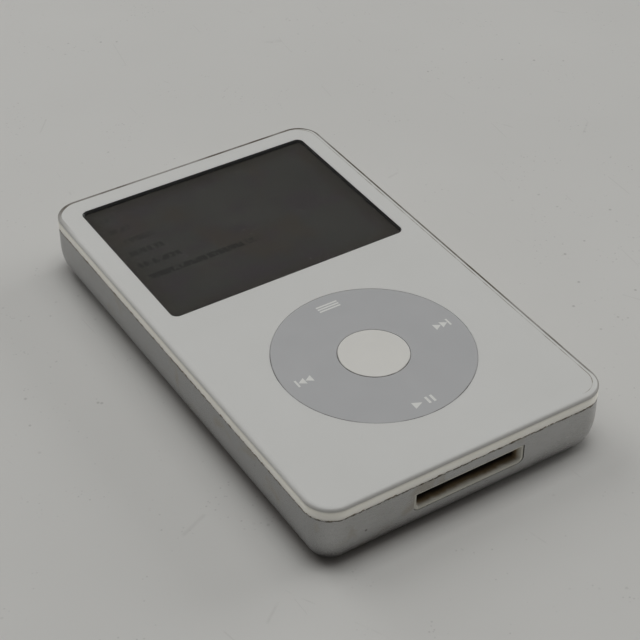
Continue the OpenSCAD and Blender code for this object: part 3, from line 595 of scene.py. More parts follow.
def screen_material():
    """A switched-off screen: cloudy dark grey, dusty, with the ghost of a list on it."""
    shader = Shader("screen_off")
    across, along, _ = shader.axes(shader.place)
    clouds = shader.noise(0.045, 3.0, distortion=1.0)
    colour = shader.mix(clouds, (0.062, 0.060, 0.054), (0.100, 0.097, 0.089))
    violet = shader.between(shader.noise(0.09, 2.0, shader.stretched((1.0, 1.6, 1.0))), 0.45, 0.65)
    colour = shader.mix(shader.times(violet, 0.7), colour, (0.078, 0.063, 0.071))
    brown = shader.between(shader.noise(0.07, 2.0, shader.stretched((1.3, 1.0, 1.0))), 0.5, 0.7)
    colour = shader.mix(shader.times(brown, 0.6), colour, (0.090, 0.072, 0.056))
    inset = shader.inset(WINDOW_WIDTH, WINDOW_LENGTH, WINDOW_CORNER, WINDOW_Y)
    edge = shader.between(inset, 0.0, 5.0, 0.75, 0.0)
    colour = shader.mix(edge, colour, (0.060, 0.050, 0.038))
    for row, length in enumerate(GHOST_ROWS):
        level = WINDOW_Y + GHOST_TOP - row * GHOST_PITCH
        start = WINDOW_LOW[0] + 2.2
        ghost = ghost_row(shader, across, along, level, start, length)
        strength = 0.25 + 0.09 * row
        colour = shader.mix(shader.times(ghost, strength), colour, (0.016, 0.015, 0.015))
    specks = shader.between(shader.cells(0.55), 0.05, 0.16, 0.9, 0.0)
    away = shader.vector("SUBTRACT", shader.place, DUST_CENTRE)
    cluster = shader.between(shader.vector("LENGTH", away), 3.0, 10.0, 0.16, 0.0)
    sparse = shader.between(shader.math("ADD", shader.noise(0.13, 4.0), cluster), 0.56, 0.66)
    colour = shader.mix(shader.times(specks, sparse), colour, (0.17, 0.165, 0.15))
    shader.set(Base_Color=colour, Roughness=0.5, Specular_IOR_Level=0.2)
    return shader.material


def near_side_gap_shade(shader, radius):
    """Painted shade in the thin gap round a disc of the wheel, on the side towards its lower left."""
    across, along, _ = shader.axes(shader.place)
    along = shader.math("SUBTRACT", along, WHEEL_Y)
    away = shader.math(
        "SQRT",
        shader.math("ADD", shader.math("POWER", across, 2.0), shader.math("POWER", along, 2.0)),
    )
    facing = shader.math(
        "SUBTRACT", 0.0, shader.math("ADD", shader.times(across, 0.85), along)
    )
    side = shader.between(facing, -0.2 * radius, 0.5 * radius)
    uneven = shader.between(shader.noise(0.25, 4.0), 0.38, 0.6, 0.45, 1.0)
    side = shader.times(side, uneven)
    return shader.times(shader.between(away, radius - 0.22, radius - 0.1), side)


def wheel_material():
    """Smooth matte grey plastic, a little polished by fingers."""
    shader = Shader("wheel_plastic")
    cloudy = shader.noise(0.1, 3.0, distortion=0.5)
    colour = shader.mix(cloudy, (0.475, 0.48, 0.485), (0.515, 0.517, 0.52))
    # Painted shade in the gap round the wheel's lower left.
    grime_and_gap_shade = shader.times(near_side_gap_shade(shader, WHEEL_RADIUS), 0.85)
    colour = shader.mix(grime_and_gap_shade, colour, (0.10, 0.095, 0.09))
    shader.set(Base_Color=colour, Specular_IOR_Level=0.4)
    polished = shader.noise(0.35, 5.0)
    shader.set(Roughness=shader.between(polished, 0.35, 0.65, 0.36, 0.48))
    shader.bump(shader.noise(10.0, 3.0), 0.15, 0.01)
    return shader.material


def pane_edge_material():
    """Ink round the pane's edge: black at the face, fading to dark grey at the screen."""
    shader = Shader("pane_edge_ink")
    _, _, height = shader.axes(shader.place)
    fade = shader.falling(height, PLATE_BOTTOM, FACE - 0.3)
    fade = shader.times(fade, shader.between(shader.noise(0.5, 3.0), 0.3, 0.7, 0.6, 1.0))
    shader.set(Base_Color=shader.mix(fade, BLACK_INK, (0.05, 0.045, 0.04)), Roughness=0.5)
    return shader.material


# ---- Shading rules for the two shells ----


def outward(place, width, length, radius):
    """Direction out of a rounded outline at a place, or None on its flat middle."""
    core_x = width / 2 - radius
    core_y = length / 2 - radius
    away = Vector(
        (
            place.x - max(-core_x, min(core_x, place.x)),
            place.y - max(-core_y, min(core_y, place.y)),
            0,
        )
    )
    return away.normalized() if away.length > 1e-6 else None


def shell_normal(place):
    """True outward normal of the steel back."""
    if place.z < 1e-4:
        return Vector((0, 0, -1))
    direction = outward(place, CASE_WIDTH, CASE_LENGTH, CORNER)
    if direction is None or place.z >= BACK_EDGE_HEIGHT:
        return direction
    fall = (BACK_EDGE_HEIGHT - place.z) / BACK_EDGE_HEIGHT
    run = math.sqrt(max(0.0, 1 - fall * fall))
    down = Vector((0, 0, -fall / BACK_EDGE_HEIGHT))
    return (direction * run / BACK_EDGE_WIDTH + down).normalized()


def front_normal(place):
    """Outward normal of the white front: its wall is shaded as if it leant outwards."""
    if place.z > FACE - 1e-4:
        return Vector((0, 0, 1))
    direction = outward(place, FRONT_WIDTH, FRONT_LENGTH, FRONT_CORNER)
    if direction is None:
        return None
    edge_start = FACE - FRONT_EDGE_HEIGHT
    if place.z <= edge_start:
        flare = min(1.0, (edge_start - place.z) / 1.2)
        return (direction + Vector((0, 0, SIDE_FLARE * flare))).normalized()
    rise = (place.z - edge_start) / FRONT_EDGE_HEIGHT
    run = math.sqrt(max(0.0, 1 - rise * rise))
    up = Vector((0, 0, rise / FRONT_EDGE_HEIGHT))
    return (direction * run / FRONT_EDGE_WIDTH + up).normalized()


# ---- Pieces ----


def outline_loop(inset, z, width, length, radius):
    """One level of a case half: its outline drawn in by an inset."""
    return at_height(rounded_outline(width - 2 * inset, length - 2 * inset, radius - inset), z)


def stadium_outline(length, height, steps=16):
    """A bar with round ends, anticlockwise."""
    return rounded_outline(length, height, height / 2 - 1e-3, steps)


def build_rear_shell():
    """The steel back: a thin tub with its openings cut through the ends."""
    size = (CASE_WIDTH, CASE_LENGTH, CORNER)
    loops = [outline_loop(BACK_EDGE_WIDTH + 0.4, 0, *size)]
    for angle in arc(0, 90, 22):
        inset = BACK_EDGE_WIDTH * (1 - math.sin(angle))
        loops.append(outline_loop(inset, BACK_EDGE_HEIGHT * (1 - math.cos(angle)), *size))
    lip = 0.08
    loops.append(outline_loop(0, SEAM - 2 * lip, *size))
    for inset, drop in softened(lip, 0, 90, 3):
        loops.append(outline_loop(inset, SEAM - drop, *size))
    loops.append(outline_loop(STEEL, SEAM, *size))
    for angle in arc(90, 0, 10):
        inset = STEEL + (BACK_EDGE_WIDTH - STEEL) * (1 - math.sin(angle))
        height = STEEL + (BACK_EDGE_HEIGHT - STEEL) * (1 - math.cos(angle))
        loops.append(outline_loop(inset, height, *size))
    shell = loft("steel_back", loops)
    slip = 0.05
    plate = stadium_outline(HOLD_PLATE[0] + 2 * slip, HOLD_PLATE[1] + 2 * slip)
    openings = (
        (rounded_corners(dock_outline(DOCK_RIM + slip), 0.3), -1, 0, DOCK_LEVEL),
        (circle_outline(COLLAR_RADIUS + slip, 64), 1, JACK_X, END_LEVEL),
        (plate, 1, HOLD_X, END_LEVEL),
    )
    for outline, end, x, z in openings:
        reach = sorted((end * (CASE_LENGTH / 2 - 3), end * (CASE_LENGTH / 2 + 1)))
        cutter = loft("cutter", [facing_y(outline, y, x, z) for y in reach])
        combine(shell, cutter, "DIFFERENCE")
    finish_piece(shell, "housing", steel_material(), ["rear_shell"], normals=shell_normal)


def flared_steps(flare):
    """How far a cutter grows at each height, so that it softens the face's opening."""
    return (
        (0, PLATE_BOTTOM - 1),
        (0, FACE - flare),
        (flare / 3, FACE - flare / 3),
        (flare, FACE),
        (flare, FACE + 1),
    )


def build_front():
    """The white front: a plate with a rounded edge, a skirt, and its two openings."""
    size = (FRONT_WIDTH, FRONT_LENGTH, FRONT_CORNER)
    skirt_inset = STEEL + SKIRT_GAP - (CASE_WIDTH - FRONT_WIDTH) / 2
    loops = [
        outline_loop(FRONT_WALL, PLATE_BOTTOM, *size),
        outline_loop(FRONT_WALL, SKIRT_BOTTOM, *size),
        outline_loop(skirt_inset, SKIRT_BOTTOM, *size),
        outline_loop(skirt_inset, FRONT_BOTTOM, *size),
    ]
    lip = 0.1
    for inset, rise in softened(lip, 90, 0, 3):
        loops.append(outline_loop(inset, FRONT_BOTTOM + rise, *size))
    wall_start = FRONT_BOTTOM + lip
    wall_rise = FACE - FRONT_EDGE_HEIGHT - wall_start
    for step in range(1, 8):
        loops.append(outline_loop(0, wall_start + wall_rise * step / 8, *size))
    for angle in arc(0, 90, 14):
        inset = FRONT_EDGE_WIDTH * (1 - math.cos(angle))
        height = FACE - FRONT_EDGE_HEIGHT * (1 - math.sin(angle))
        loops.append(outline_loop(inset, height, *size))
    loops.append(outline_loop(FRONT_EDGE_WIDTH + 0.3, FACE, *size))
    front = loft("white_front", loops)
    gap = 0.05
    hole = (WINDOW_WIDTH + 2 * gap, WINDOW_LENGTH + 2 * gap, WINDOW_CORNER)
    loops = []
    for grow, z in flared_steps(0.07):
        outline = rounded_outline(hole[0] + 2 * grow, hole[1] + 2 * grow, hole[2] + grow)
        loops.append(at_height(outline, z, 0, WINDOW_Y))
    combine(front, loft("cutter", loops), "DIFFERENCE")
    loops = []
    for grow, z in flared_steps(0.03):
        outline = circle_outline(WHEEL_HOLE + grow, 160)
        loops.append(at_height(outline, z, 0, WHEEL_Y))
    combine(front, loft("cutter", loops), "DIFFERENCE")
    dock_half = DOCK_WIDTH / 2 + 2.5
    dock_top = DOCK_LEVEL + 2.95
    collar_half = COLLAR_RADIUS + 1.0
    hold_half = HOLD_FLANGE[0] / 2 + 0.5
    end = CASE_LENGTH / 2
    notches = (
        ((-dock_half, -end, 0), (dock_half, 3 - end, dock_top)),
        ((JACK_X - collar_half, END_BACK, 0), (JACK_X + collar_half, end, SEAM)),
        ((HOLD_X - hold_half, END_BACK, 0), (HOLD_X + hold_half, end, HOLD_HIGH[2] + 0.6)),
    )
    for low, high in notches:
        combine(front, box_solid("cutter", low, high), "DIFFERENCE")
    boss_low = span("mid_frame")[1][2]
    boss_high = PLATE_BOTTOM + 0.1
    profile = [(BOSS_HOLE, boss_low), (BOSS_RADIUS, boss_low)]
    profile += [(BOSS_RADIUS, boss_high), (BOSS_HOLE, boss_high)]
    for x in (-BOSS_X, BOSS_X):
        for y in BOSS_ROWS:
            combine(front, lathe("boss", profile, (x, y), 24), "UNION")
    finish_piece(front, "housing", front_material(), ["front_bezel"], normals=front_normal)


def build_window():
    """The clear pane with a softened upper edge."""
    loops = []
    soft = 0.06
    levels = [(0.0, PLATE_BOTTOM), (0.0, FACE - soft)]
    for inset, drop in softened(soft, 20, 90, 3):
        levels.append((inset, FACE - drop))
    levels.append((soft + 0.3, FACE))
    for inset, z in levels:
        outline = rounded_outline(
            WINDOW_WIDTH - 2 * inset, WINDOW_LENGTH - 2 * inset, WINDOW_CORNER - inset, 10
        )
        loops.append(at_height(outline, z, 0, WINDOW_Y))
    pane = loft("window_pane", loops)
    finish_piece(pane, "housing", window_material(), ["display_window"])
    pane.data.materials.append(pane_edge_material())
    for polygon in pane.data.polygons:
        polygon.material_index = 1 if abs(polygon.normal.z) < 0.1 else 0


def build_screen_mask():
    """The black ring printed round the screen, just below the pane."""
    low, high = span("display_mask")
    border = 0.2
    slip = 0.02
    top = high[2] - slip
    loops = []
    for inset, z in ((0, low[2]), (0, top), (border, top), (border, low[2])):
        outline = rounded_outline(
            high[0] - low[0] - 2 * inset, high[1] - low[1] - 2 * inset, WINDOW_CORNER, 8
        )
        loops.append(at_height(outline, z, 0, WINDOW_Y))
    ring = loft("screen_ring", loops, closed=True)
    ink = plastic("mask_print", BLACK_INK, roughness=0.5)
    finish_piece(ring, "housing", ink, ["display_mask"])


def build_wheel():
    """The touch wheel with rounded rims, on its wide flange."""
    flange_radius = (WHEEL_HIGH[0] - WHEEL_LOW[0]) / 2
    flange_top = PLATE_BOTTOM - 0.3
    hole = BUTTON_RADIUS + BUTTON_GAP
    soft = 0.06
    profile = [
        (hole, WHEEL_LOW[2]),
        (flange_radius, WHEEL_LOW[2]),
        (flange_radius, flange_top),
        (WHEEL_RADIUS, flange_top),
        (WHEEL_RADIUS, WHEEL_TOP - 2 * soft),
    ]
    for inset, drop in softened(soft, 0, 90, 4):
        profile.append((WHEEL_RADIUS - inset, WHEEL_TOP - drop))
    profile.append((WHEEL_RADIUS - 0.4, WHEEL_TOP))
    profile.append((hole + 0.4, WHEEL_TOP))
    for inset, drop in softened(soft, 90, 0, 4):
        profile.append((hole + inset, WHEEL_TOP - drop))
    wheel = lathe("touch_wheel", profile, (0, WHEEL_Y), 160)
    finish_piece(wheel, "wheel", wheel_material(), ["click_wheel"])


def printed_mark(name, polygons):
    """Thin white print on the wheel: each polygon is a list of points from its centre."""
    underside = WHEEL_TOP - 0.005
    upper_side = WHEEL_TOP + 0.015
    bm = bmesh.new()
    for points in polygons:
        add_skin(bm, [at_height(points, z, 0, WHEEL_Y) for z in (underside, upper_side)])
    return as_object(name, bm)


def bar(x, y, width, height):
    """An upright bar centred on a point."""
    return [
        (x - width / 2, y - height / 2),
        (x + width / 2, y - height / 2),
        (x + width / 2, y + height / 2),
        (x - width / 2, y + height / 2),
    ]


def arrow(x, y, length, height):
    """A triangle whose base is at x, pointing along X by its length."""
    return [(x, y - height / 2), (x + length, y), (x, y + height / 2)]


def build_marks():
    """Play and pause, next, previous, and three lines for the menu."""
    top, side, bottom = 15.9, 15.2, -15.85
    glyph = 1.75
    marks = {
        "mark_play": [
            arrow(-2.08, bottom, 1.85, glyph),
            bar(0.98, bottom, 0.5, glyph + 0.05),
            bar(2.05, bottom, 0.5, glyph + 0.05),
        ],
        "mark_next": [
            arrow(side - 1.5, 0.1, 1.4, glyph),
            arrow(side - 0.02, 0.1, 1.4, glyph),
            bar(side + 1.65, 0.1, 0.4, glyph + 0.15),
        ],
        "mark_previous": [
            arrow(-side + 1.9, 0.1, -1.4, glyph),
            arrow(-side + 0.42, 0.1, -1.4, glyph),
            bar(-side - 1.25, 0.1, 0.4, glyph + 0.15),
        ],
        "mark_menu": [bar(0.2, top + row * 0.68, 4.6, 0.38) for row in (-1, 0, 1)],
    }
    ink = plastic("white_print", (0.80, 0.80, 0.77), roughness=0.5, grain=0.005)
    for name, polygons in marks.items():
        finish_piece(printed_mark(name, polygons), "wheel", ink)


def button_material():
    """Warm white plastic with painted shade in the gap round its lower left."""
    shader = Shader("button_plastic")
    colour = shader.mix(shader.noise(0.3, 4.0), (0.765, 0.755, 0.715), (0.795, 0.785, 0.745))
    # Painted shade in the gap round the button's lower left.
    grime_and_gap_shade = shader.times(near_side_gap_shade(shader, BUTTON_RADIUS), 0.8)
    colour = shader.mix(grime_and_gap_shade, colour, (0.12, 0.11, 0.10))
    shader.set(Base_Color=colour)
    shader.set(Roughness=shader.between(shader.noise(2.5, 5.0), 0.3, 0.7, 0.36, 0.48))
    shader.bump(shader.noise(14.0, 2.0), 0.2, 0.01)
    return shader.material


def build_button():
    """The centre button: a shallow dish with a rounded rim, on its wide foot."""
    foot_radius = (BUTTON_HIGH[0] - BUTTON_LOW[0]) / 2
    foot_top = BUTTON_LOW[2] + 0.15
    soft = 0.12
    dish_depth = 0.12
    dish_radius = BUTTON_RADIUS - soft - 0.1
    profile = [
        (0.0, BUTTON_LOW[2]),
        (foot_radius, BUTTON_LOW[2]),
        (foot_radius, foot_top),
        (BUTTON_RADIUS, foot_top),
        (BUTTON_RADIUS, WHEEL_TOP - 2 * soft),
    ]
    for inset, drop in softened(soft, 0, 90, 6):
        profile.append((BUTTON_RADIUS - inset, WHEEL_TOP - drop))
    for step in range(12):
        radius = dish_radius * (1 - step / 12)
        profile.append((radius, WHEEL_TOP - dish_depth * (1 - (radius / dish_radius) ** 2)))
    profile.append((0.0, WHEEL_TOP - dish_depth))
    button = lathe("select_key", profile, (0, WHEEL_Y), 96)
    finish_piece(button, "button", button_material(), ["select_button"])


def dock_rim_material():
    """Cream plastic, painted browner and darker with depth as shade inside the opening, and darker at
    its outer edge in the gap round it.
    """
    shader = Shader("dock_plastic")
    _, depth, _ = shader.axes(shader.place)
    front = -END_FACE
    colour = shader.mix(shader.noise(0.4, 3.0), (0.60, 0.585, 0.51), (0.72, 0.70, 0.63))
    # Painted shade: browner, then near black, further into the opening.
    stain = shader.between(shader.noise(0.35, 3.0), 0.3, 0.7, -0.15, 0.15)
    shade_depth = shader.math("ADD", shader.math("SUBTRACT", depth, front), stain)
    colour = shader.mix(shader.between(shade_depth, 0.15, 1.0), colour, (0.30, 0.22, 0.13))
    colour = shader.mix(shader.between(shade_depth, 0.8, 2.0), colour, (0.05, 0.036, 0.024))
    # Darker at the rim's outer edge, in the gap round it.
    past = shader.vector(
        "SUBTRACT",
        shader.vector("ABSOLUTE", shader.vector("SUBTRACT", shader.place, (0, 0, DOCK_LEVEL))),
        (DOCK_WIDTH / 2 + DOCK_RIM, 1000.0, DOCK_HEIGHT / 2 + DOCK_RIM * 0.8),
    )
    sideways, _, upright = shader.axes(past)
    outermost = shader.math("MAXIMUM", sideways, upright)
    colour = shader.mix(shader.between(outermost, -0.1, -0.02, 0.0, 0.8), colour, (0.06, 0.05, 0.04))
    shader.set(Base_Color=colour, Roughness=0.45)
    shader.bump(shader.noise(8.0, 3.0), 0.1, 0.005)
    return shader.material


def build_dock_rim():
    """The plastic rim of the dock opening, flared at its mouth."""
    outer = rounded_corners(dock_outline(DOCK_RIM), 0.3)
    throat = rounded_corners(dock_outline(0), 0.15)
    front = -END_FACE
    soft = 0.1
    loops = [
        facing_y(throat, -END_BACK, 0, DOCK_LEVEL),
        facing_y(throat, front + DOCK_FLARE_DEPTH, 0, DOCK_LEVEL),
    ]
    for inset, depth in softened(soft, 0, 90, 3):
        opened = rounded_corners(dock_outline(DOCK_FLARE + inset), 0.2)
        loops.append(facing_y(opened, front + depth, 0, DOCK_LEVEL))
    for inset, depth in softened(soft, 90, 0, 3):
        edge = rounded_corners(dock_outline(DOCK_RIM - inset), 0.3)
        loops.append(facing_y(edge, front + depth, 0, DOCK_LEVEL))
    loops.append(facing_y(outer, -END_BACK, 0, DOCK_LEVEL))
    rim = loft("dock_mouth", loops, closed=True)
    finish_piece(rim, "housing", dock_rim_material(), ["dock_rim"], smooth=35)


def build_top_end():
    """Headphone collar, hold tray and knob."""
    white = plastic("end_plastic", (0.74, 0.735, 0.70), roughness=0.35, grain=0.01, coat=0.2)
    build_collar(white)
    build_hold_tray(white)
    build_hold_knob(white)


def build_collar(material):
    """The collar of the headphone socket, with a softened mouth and a flange behind."""
    mouth = 0.25
    edge = 0.1
    flange_front = END_BACK + 1.0
    levels = [(JACK_RADIUS, END_BACK), (JACK_RADIUS, END_FACE - mouth)]
    for inset, depth in softened(mouth, 0, 90, 5):
        levels.append((JACK_RADIUS + inset, END_FACE - depth))
    for inset, depth in softened(edge, 90, 0, 3):
        levels.append((COLLAR_RADIUS - inset, END_FACE - depth))
    levels += [
        (COLLAR_RADIUS, flange_front),
        (COLLAR_RADIUS + COLLAR_FLANGE, flange_front),
        (COLLAR_RADIUS + COLLAR_FLANGE, END_BACK),
    ]
    loops = [facing_y(circle_outline(radius, 72), y, JACK_X, END_LEVEL) for radius, y in levels]
    collar = loft("headphone_collar", loops, closed=True)
    finish_piece(collar, "housing", material, ["jack_collar"])


def build_hold_tray(material):
    """The tray the knob slides in: a recess with a slot through its floor."""
    soft = 0.1
    floor = HOLD_LOW[1] + 0.9
    flange_front = END_BACK + 0.8
    recess = (KNOB_SIZE[0] + HOLD_TRAVEL + 0.6, KNOB_SIZE[1] + 0.4)
    mouth = (recess[0] + 2 * soft, recess[1] + 2 * soft)
    face = (HOLD_PLATE[0] - 2 * soft, HOLD_PLATE[1] - 2 * soft)
    levels = [
        (HOLD_SLOT, END_BACK),
        (HOLD_SLOT, floor),
        (recess, floor),
        (recess, END_FACE - soft),
        (mouth, END_FACE),
        (face, END_FACE),
        (HOLD_PLATE, END_FACE - soft),
        (HOLD_PLATE, flange_front),
        (HOLD_FLANGE, flange_front),
        (HOLD_FLANGE, END_BACK),
    ]
    loops = [facing_y(stadium_outline(*size), y, HOLD_X, END_LEVEL) for size, y in levels]
    tray = loft("hold_tray", loops, closed=True)
    finish_piece(tray, "housing", material, ["hold_bezel"])


def build_hold_knob(material):
    """The sliding knob: a rounded bar with ribs, on its neck and foot."""
    length, height = KNOB_SIZE
    under = HOLD_LOW[1] + 1.02
    face = END_FACE - 0.2
    soft = 0.15
    levels = [(0.0, under), (0.0, face - soft)]
    for inset, depth in softened(soft, 15, 90, 4):
        levels.append((inset, face - depth))
    loops = [
        facing_y(stadium_outline(length - 2 * inset, height - 2 * inset), y, KNOB_X, END_LEVEL)
        for inset, y in levels
    ]
    knob = loft("hold_knob", loops)
    rib_count = 5
    rib_pitch = 0.9
    rib_width = 0.36
    rib_height = 1.7
    for index in range(rib_count):
        x = KNOB_X + (index - (rib_count - 1) / 2) * rib_pitch
        loops = []
        for inset, y in ((0.0, face - 0.1), (0.0, face + 0.06), (0.08, face + 0.14)):
            width = rib_width - inset
            outline = rounded_outline(width, rib_height - inset, width / 2 - 1e-3, 6)
            loops.append(facing_y(outline, y, x, END_LEVEL))
        combine(knob, loft("rib", loops), "UNION")
    neck_half = (1.0, 0.6)
    neck = box_solid(
        "neck",
        (KNOB_X - neck_half[0], KNOB_LOW[1] + 0.2, END_LEVEL - neck_half[1]),
        (KNOB_X + neck_half[0], under + 0.1, END_LEVEL + neck_half[1]),
    )
    combine(knob, neck, "UNION")
    foot_front = KNOB_LOW[1] + 0.4
    foot = box_solid("foot", KNOB_LOW, (KNOB_HIGH[0], foot_front, KNOB_HIGH[2]))
    combine(knob, foot, "UNION")
    finish_piece(knob, "hold_switch_knob", material, ["hold_slider"])


# ---- Materials of the inside, on the CAD nodes themselves ----


def dress_inside():
    """Gives every remaining CAD node its own procedural material."""
    board = (0.02, 0.11, 0.055)
    looks = {
        "display_gasket": plastic("gasket_foam", (0.02, 0.02, 0.02), roughness=0.9, grain=0.2),
        "display_panel": screen_material(),
        "display_backlight": plastic("light_guide", (0.8, 0.8, 0.76), roughness=0.25),
        "display_frame": metal("display_steel", (0.60, 0.60, 0.61)),
        "touch_sensor": circuit_board("sensor_board", board),
        "wheel_pivot_plate": metal("pivot_steel", (0.66, 0.66, 0.66), roughness=0.25),
        "dome_board": circuit_board("dome_circuit", board),
        "snap_domes": metal("dome_steel", (0.72, 0.72, 0.71), roughness=0.2),
        "mid_frame": metal("frame_sheet", (0.58, 0.59, 0.60), roughness=0.4),
        "frame_screws": metal("frame_screw_steel", (0.5, 0.5, 0.5), roughness=0.3),
        "board_film": plastic("amber_film", (0.50, 0.24, 0.04), roughness=0.25),
        "logic_board": circuit_board("logic_circuit", board),
        "board_chips": plastic("chip_resin", (0.018, 0.018, 0.02), roughness=0.55),
        "board_shield": metal("can_tin", (0.68, 0.68, 0.65), roughness=0.3),
        "board_capacitors": plastic("capacitor_ceramic", (0.42, 0.29, 0.17), roughness=0.5),
        "board_connectors": plastic("connector_plastic", (0.70, 0.67, 0.56), roughness=0.5),
        "dock_connector": plastic("dock_black", (0.02, 0.018, 0.016), roughness=0.5),
        "dock_shield": metal("dock_tin", (0.6, 0.6, 0.58), roughness=0.35),
        "dock_contacts": metal("dock_gold", (0.78, 0.55, 0.20), roughness=0.25),
        "drive_base": metal("drive_casting", (0.55, 0.56, 0.57), 0.45, (2.0, 2.0, 2.0), 0.02),
        "drive_cover": metal("drive_lid", (0.66, 0.66, 0.66)),
        "drive_screws": metal("drive_screw_steel", (0.25, 0.25, 0.25), roughness=0.35),
        "spindle_motor": metal("motor_copper", (0.60, 0.30, 0.14), roughness=0.4),
        "spindle_hub": metal("hub_aluminium", (0.75, 0.75, 0.75), roughness=0.25),
        "platter": metal("disk_mirror", (0.80, 0.79, 0.78), 0.06, (0.2, 0.2, 0.2), 0.001),
        "platter_clamp": metal("clamp_steel", (0.7, 0.7, 0.7), roughness=0.22),
        "arm_pivot_post": metal("post_steel", (0.45, 0.45, 0.46), roughness=0.25),
        "actuator_arm": metal("arm_aluminium", (0.72, 0.72, 0.72), roughness=0.3),
        "head_slider": plastic("head_ceramic", (0.03, 0.03, 0.03), roughness=0.3),
        "voice_coil": metal("coil_copper", (0.62, 0.28, 0.12), 0.35, (0.4, 8.0, 8.0), 0.03),
        "coil_magnets": metal("magnet_nickel", (0.55, 0.55, 0.56), roughness=0.3),
        "parking_ramp": plastic("ramp_plastic", (0.72, 0.70, 0.60), roughness=0.4),
        "drive_board": circuit_board("drive_circuit", board),
        "drive_bumpers": plastic("bumper_rubber", (0.03, 0.07, 0.18), roughness=0.75, grain=0.1),
        "battery_cell": metal("battery_foil", (0.62, 0.62, 0.63), 0.35, (1.0, 1.0, 1.0), 0.08),
        "battery_pad": plastic("pad_foam", (0.42, 0.36, 0.22), roughness=0.85, grain=0.15),
        "audio_bracket": metal("bracket_sheet", (0.56, 0.56, 0.56), roughness=0.4),
        "audio_board": circuit_board("audio_circuit", board),
        "audio_screws": metal("audio_screw_steel", (0.5, 0.5, 0.5), roughness=0.3),
        "jack_barrel": plastic("barrel_black", (0.02, 0.02, 0.02), roughness=0.45),
        "jack_contacts": metal("jack_gold", (0.78, 0.55, 0.20), roughness=0.25),
        "hold_marker": plastic("orange_film", (0.75, 0.14, 0.01), roughness=0.4),
        "hold_lever": plastic("lever_black", (0.02, 0.02, 0.02), roughness=0.45),
        "hold_switch": metal("switch_tin", (0.62, 0.62, 0.6), roughness=0.3),
        "clip_rails": metal("rail_steel", (0.55, 0.55, 0.55), roughness=0.3),
    }
    cables = ("display_cable", "wheel_cable", "drive_cable", "battery_cable", "audio_cable")
    for name in cables:
        looks[name] = flat_cable(name + "_film")
    for name, material in looks.items():
        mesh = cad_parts[name].data
        mesh.materials.clear()
        mesh.materials.append(material)


# ---- Table, light and camera ----


def table_material():
    """Pale paint, faintly uneven, with specks, fine marks and a painted contact shadow close round
    the case.
    """
    shader = Shader("table_paint")
    tone = shader.noise(0.02, 4.0)
    colour = shader.mix(tone, (0.66, 0.655, 0.63), (0.71, 0.705, 0.68))
    blotches = shader.noise(0.09, 5.0, distortion=0.8)
    marked = shader.between(shader.noise(0.022, 3.0), 0.48, 0.62)
    specks = shader.times(
        shader.falling(shader.cells(0.34), 0.05, 0.15),
        shader.between(shader.noise(0.3, 2.0), 0.47, 0.57),
    )
    specks = shader.times(specks, marked)
    colour = shader.mix(shader.times(specks, 0.4), colour, (0.22, 0.21, 0.20))
    dots = shader.times(
        shader.falling(shader.cells(0.8), 0.04, 0.22),
        shader.between(blotches, 0.52, 0.66, 0.0, 0.4),
    )
    colour = shader.mix(dots, colour, (0.36, 0.35, 0.34))
    hairs = shader.cells(0.05, shader.stretched((1.0, 0.25, 1.0), turn=35), "DISTANCE_TO_EDGE")
    hairs = shader.times(
        shader.falling(hairs, 0.0, 0.006),
        shader.between(shader.noise(0.12, 3.0), 0.56, 0.64, 0.0, 0.2),
    )
    colour = shader.mix(hairs, colour, (0.42, 0.41, 0.39))
    # Painted contact shadow close round the case, wider and darker on its left side and dock end.
    across, along, _ = shader.axes(shader.place)
    inset = shader.inset(CASE_WIDTH, CASE_LENGTH, CORNER)
    thinner = shader.times(
        shader.between(across, -CASE_WIDTH / 8, CASE_WIDTH / 2, 1.0, 0.25),
        shader.between(along, -CASE_LENGTH / 4, CASE_LENGTH / 3, 1.0, 0.5),
    )
    painted_contact_shadow = shader.times(shader.between(inset, -2.2, 2.5, 0.0, 0.68), thinner)
    colour = shader.mix(painted_contact_shadow, colour, (0.15, 0.125, 0.115))
    shader.set(Base_Color=colour, Roughness=0.5, Specular_IOR_Level=0.3)
    shader.bump(shader.noise(1.5, 4.0), 0.1, 0.05)
    return shader.material


def build_table():
    """A large pale table."""
    low = (-TABLE_HALF, -TABLE_HALF, TABLE_BOTTOM)
    table = box_solid("table", low, (TABLE_HALF, TABLE_HALF, TABLE_TOP))
    table.data.transform(Matrix.Scale(MM, 4))
    table.data.materials.append(table_material())


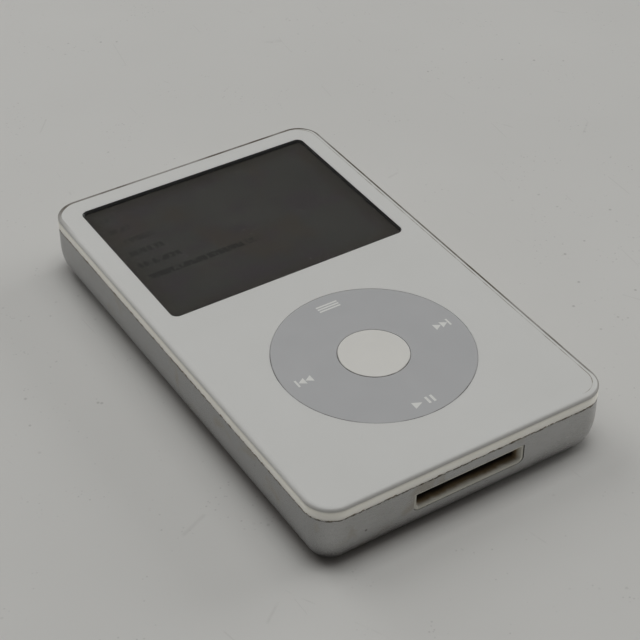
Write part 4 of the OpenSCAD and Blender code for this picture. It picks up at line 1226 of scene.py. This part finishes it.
def soft_light(name, azimuth, elevation, size, power):
    """A square soft light on the studio dome, aimed at the player."""
    reach = 1.6
    turn = math.radians(azimuth)
    rise = math.radians(elevation)
    place = Vector(
        (math.cos(rise) * math.cos(turn), math.cos(rise) * math.sin(turn), math.sin(rise))
    )
    data = bpy.data.lights.new(name, "AREA")
    data.shape = "SQUARE"
    data.size = size
    data.energy = power
    light = bpy.data.objects.new(name, data)
    bpy.context.collection.objects.link(light)
    light.location = place * reach
    light.rotation_euler = (-place).to_track_quat("-Z", "Y").to_euler()


def build_light():
    """A pale studio: a large light overhead, softer ones beyond and beside the player."""
    world = bpy.data.worlds.new("studio")
    world.use_nodes = True
    background = world.node_tree.nodes["Background"]
    background.inputs["Color"].default_value = (1.0, 0.995, 0.975, 1.0)
    background.inputs["Strength"].default_value = SKY_STRENGTH
    bpy.context.scene.world = world
    soft_light("overhead", 0, 90, 0.8, 5.1)
    soft_light("overhead_right", 0, 72, 0.8, 2.5)
    soft_light("beyond", 112.5, 48, 0.9, 3.9)
    soft_light("low_right", 0, 22, 0.9, 5.9)
    soft_light("low_beyond", 90, 22, 0.9, 2.5)


def build_camera():
    """The camera, placed round a point on the front face."""
    target = Vector((-3.28, -7.98, FACE))
    azimuth, elevation, roll = (math.radians(angle) for angle in (-32.48, 39.14, 0.27))
    distance = 321.7
    back = Vector(
        (
            math.sin(azimuth) * math.cos(elevation),
            -math.cos(azimuth) * math.cos(elevation),
            math.sin(elevation),
        )
    )
    level_right = (-back).cross(Vector((0, 0, 1))).normalized()
    level_up = level_right.cross(-back)
    right = level_right * math.cos(roll) + level_up * math.sin(roll)
    up = level_up * math.cos(roll) - level_right * math.sin(roll)
    turn = Matrix((right, up, back)).transposed().to_4x4()
    data = bpy.data.cameras.new("camera")
    data.lens = 96.4
    data.sensor_width = 36.0
    data.clip_start = 0.01
    camera = bpy.data.objects.new("camera", data)
    bpy.context.collection.objects.link(camera)
    camera.matrix_world = Matrix.Translation((target + back * distance) * MM) @ turn
    bpy.context.scene.camera = camera


bpy.context.scene.view_settings.view_transform = "Standard"
build_camera()
build_light()
build_table()
build_rear_shell()
build_front()
build_window()
build_screen_mask()
build_wheel()
build_marks()
build_button()
build_dock_rim()
build_top_end()
dress_inside()
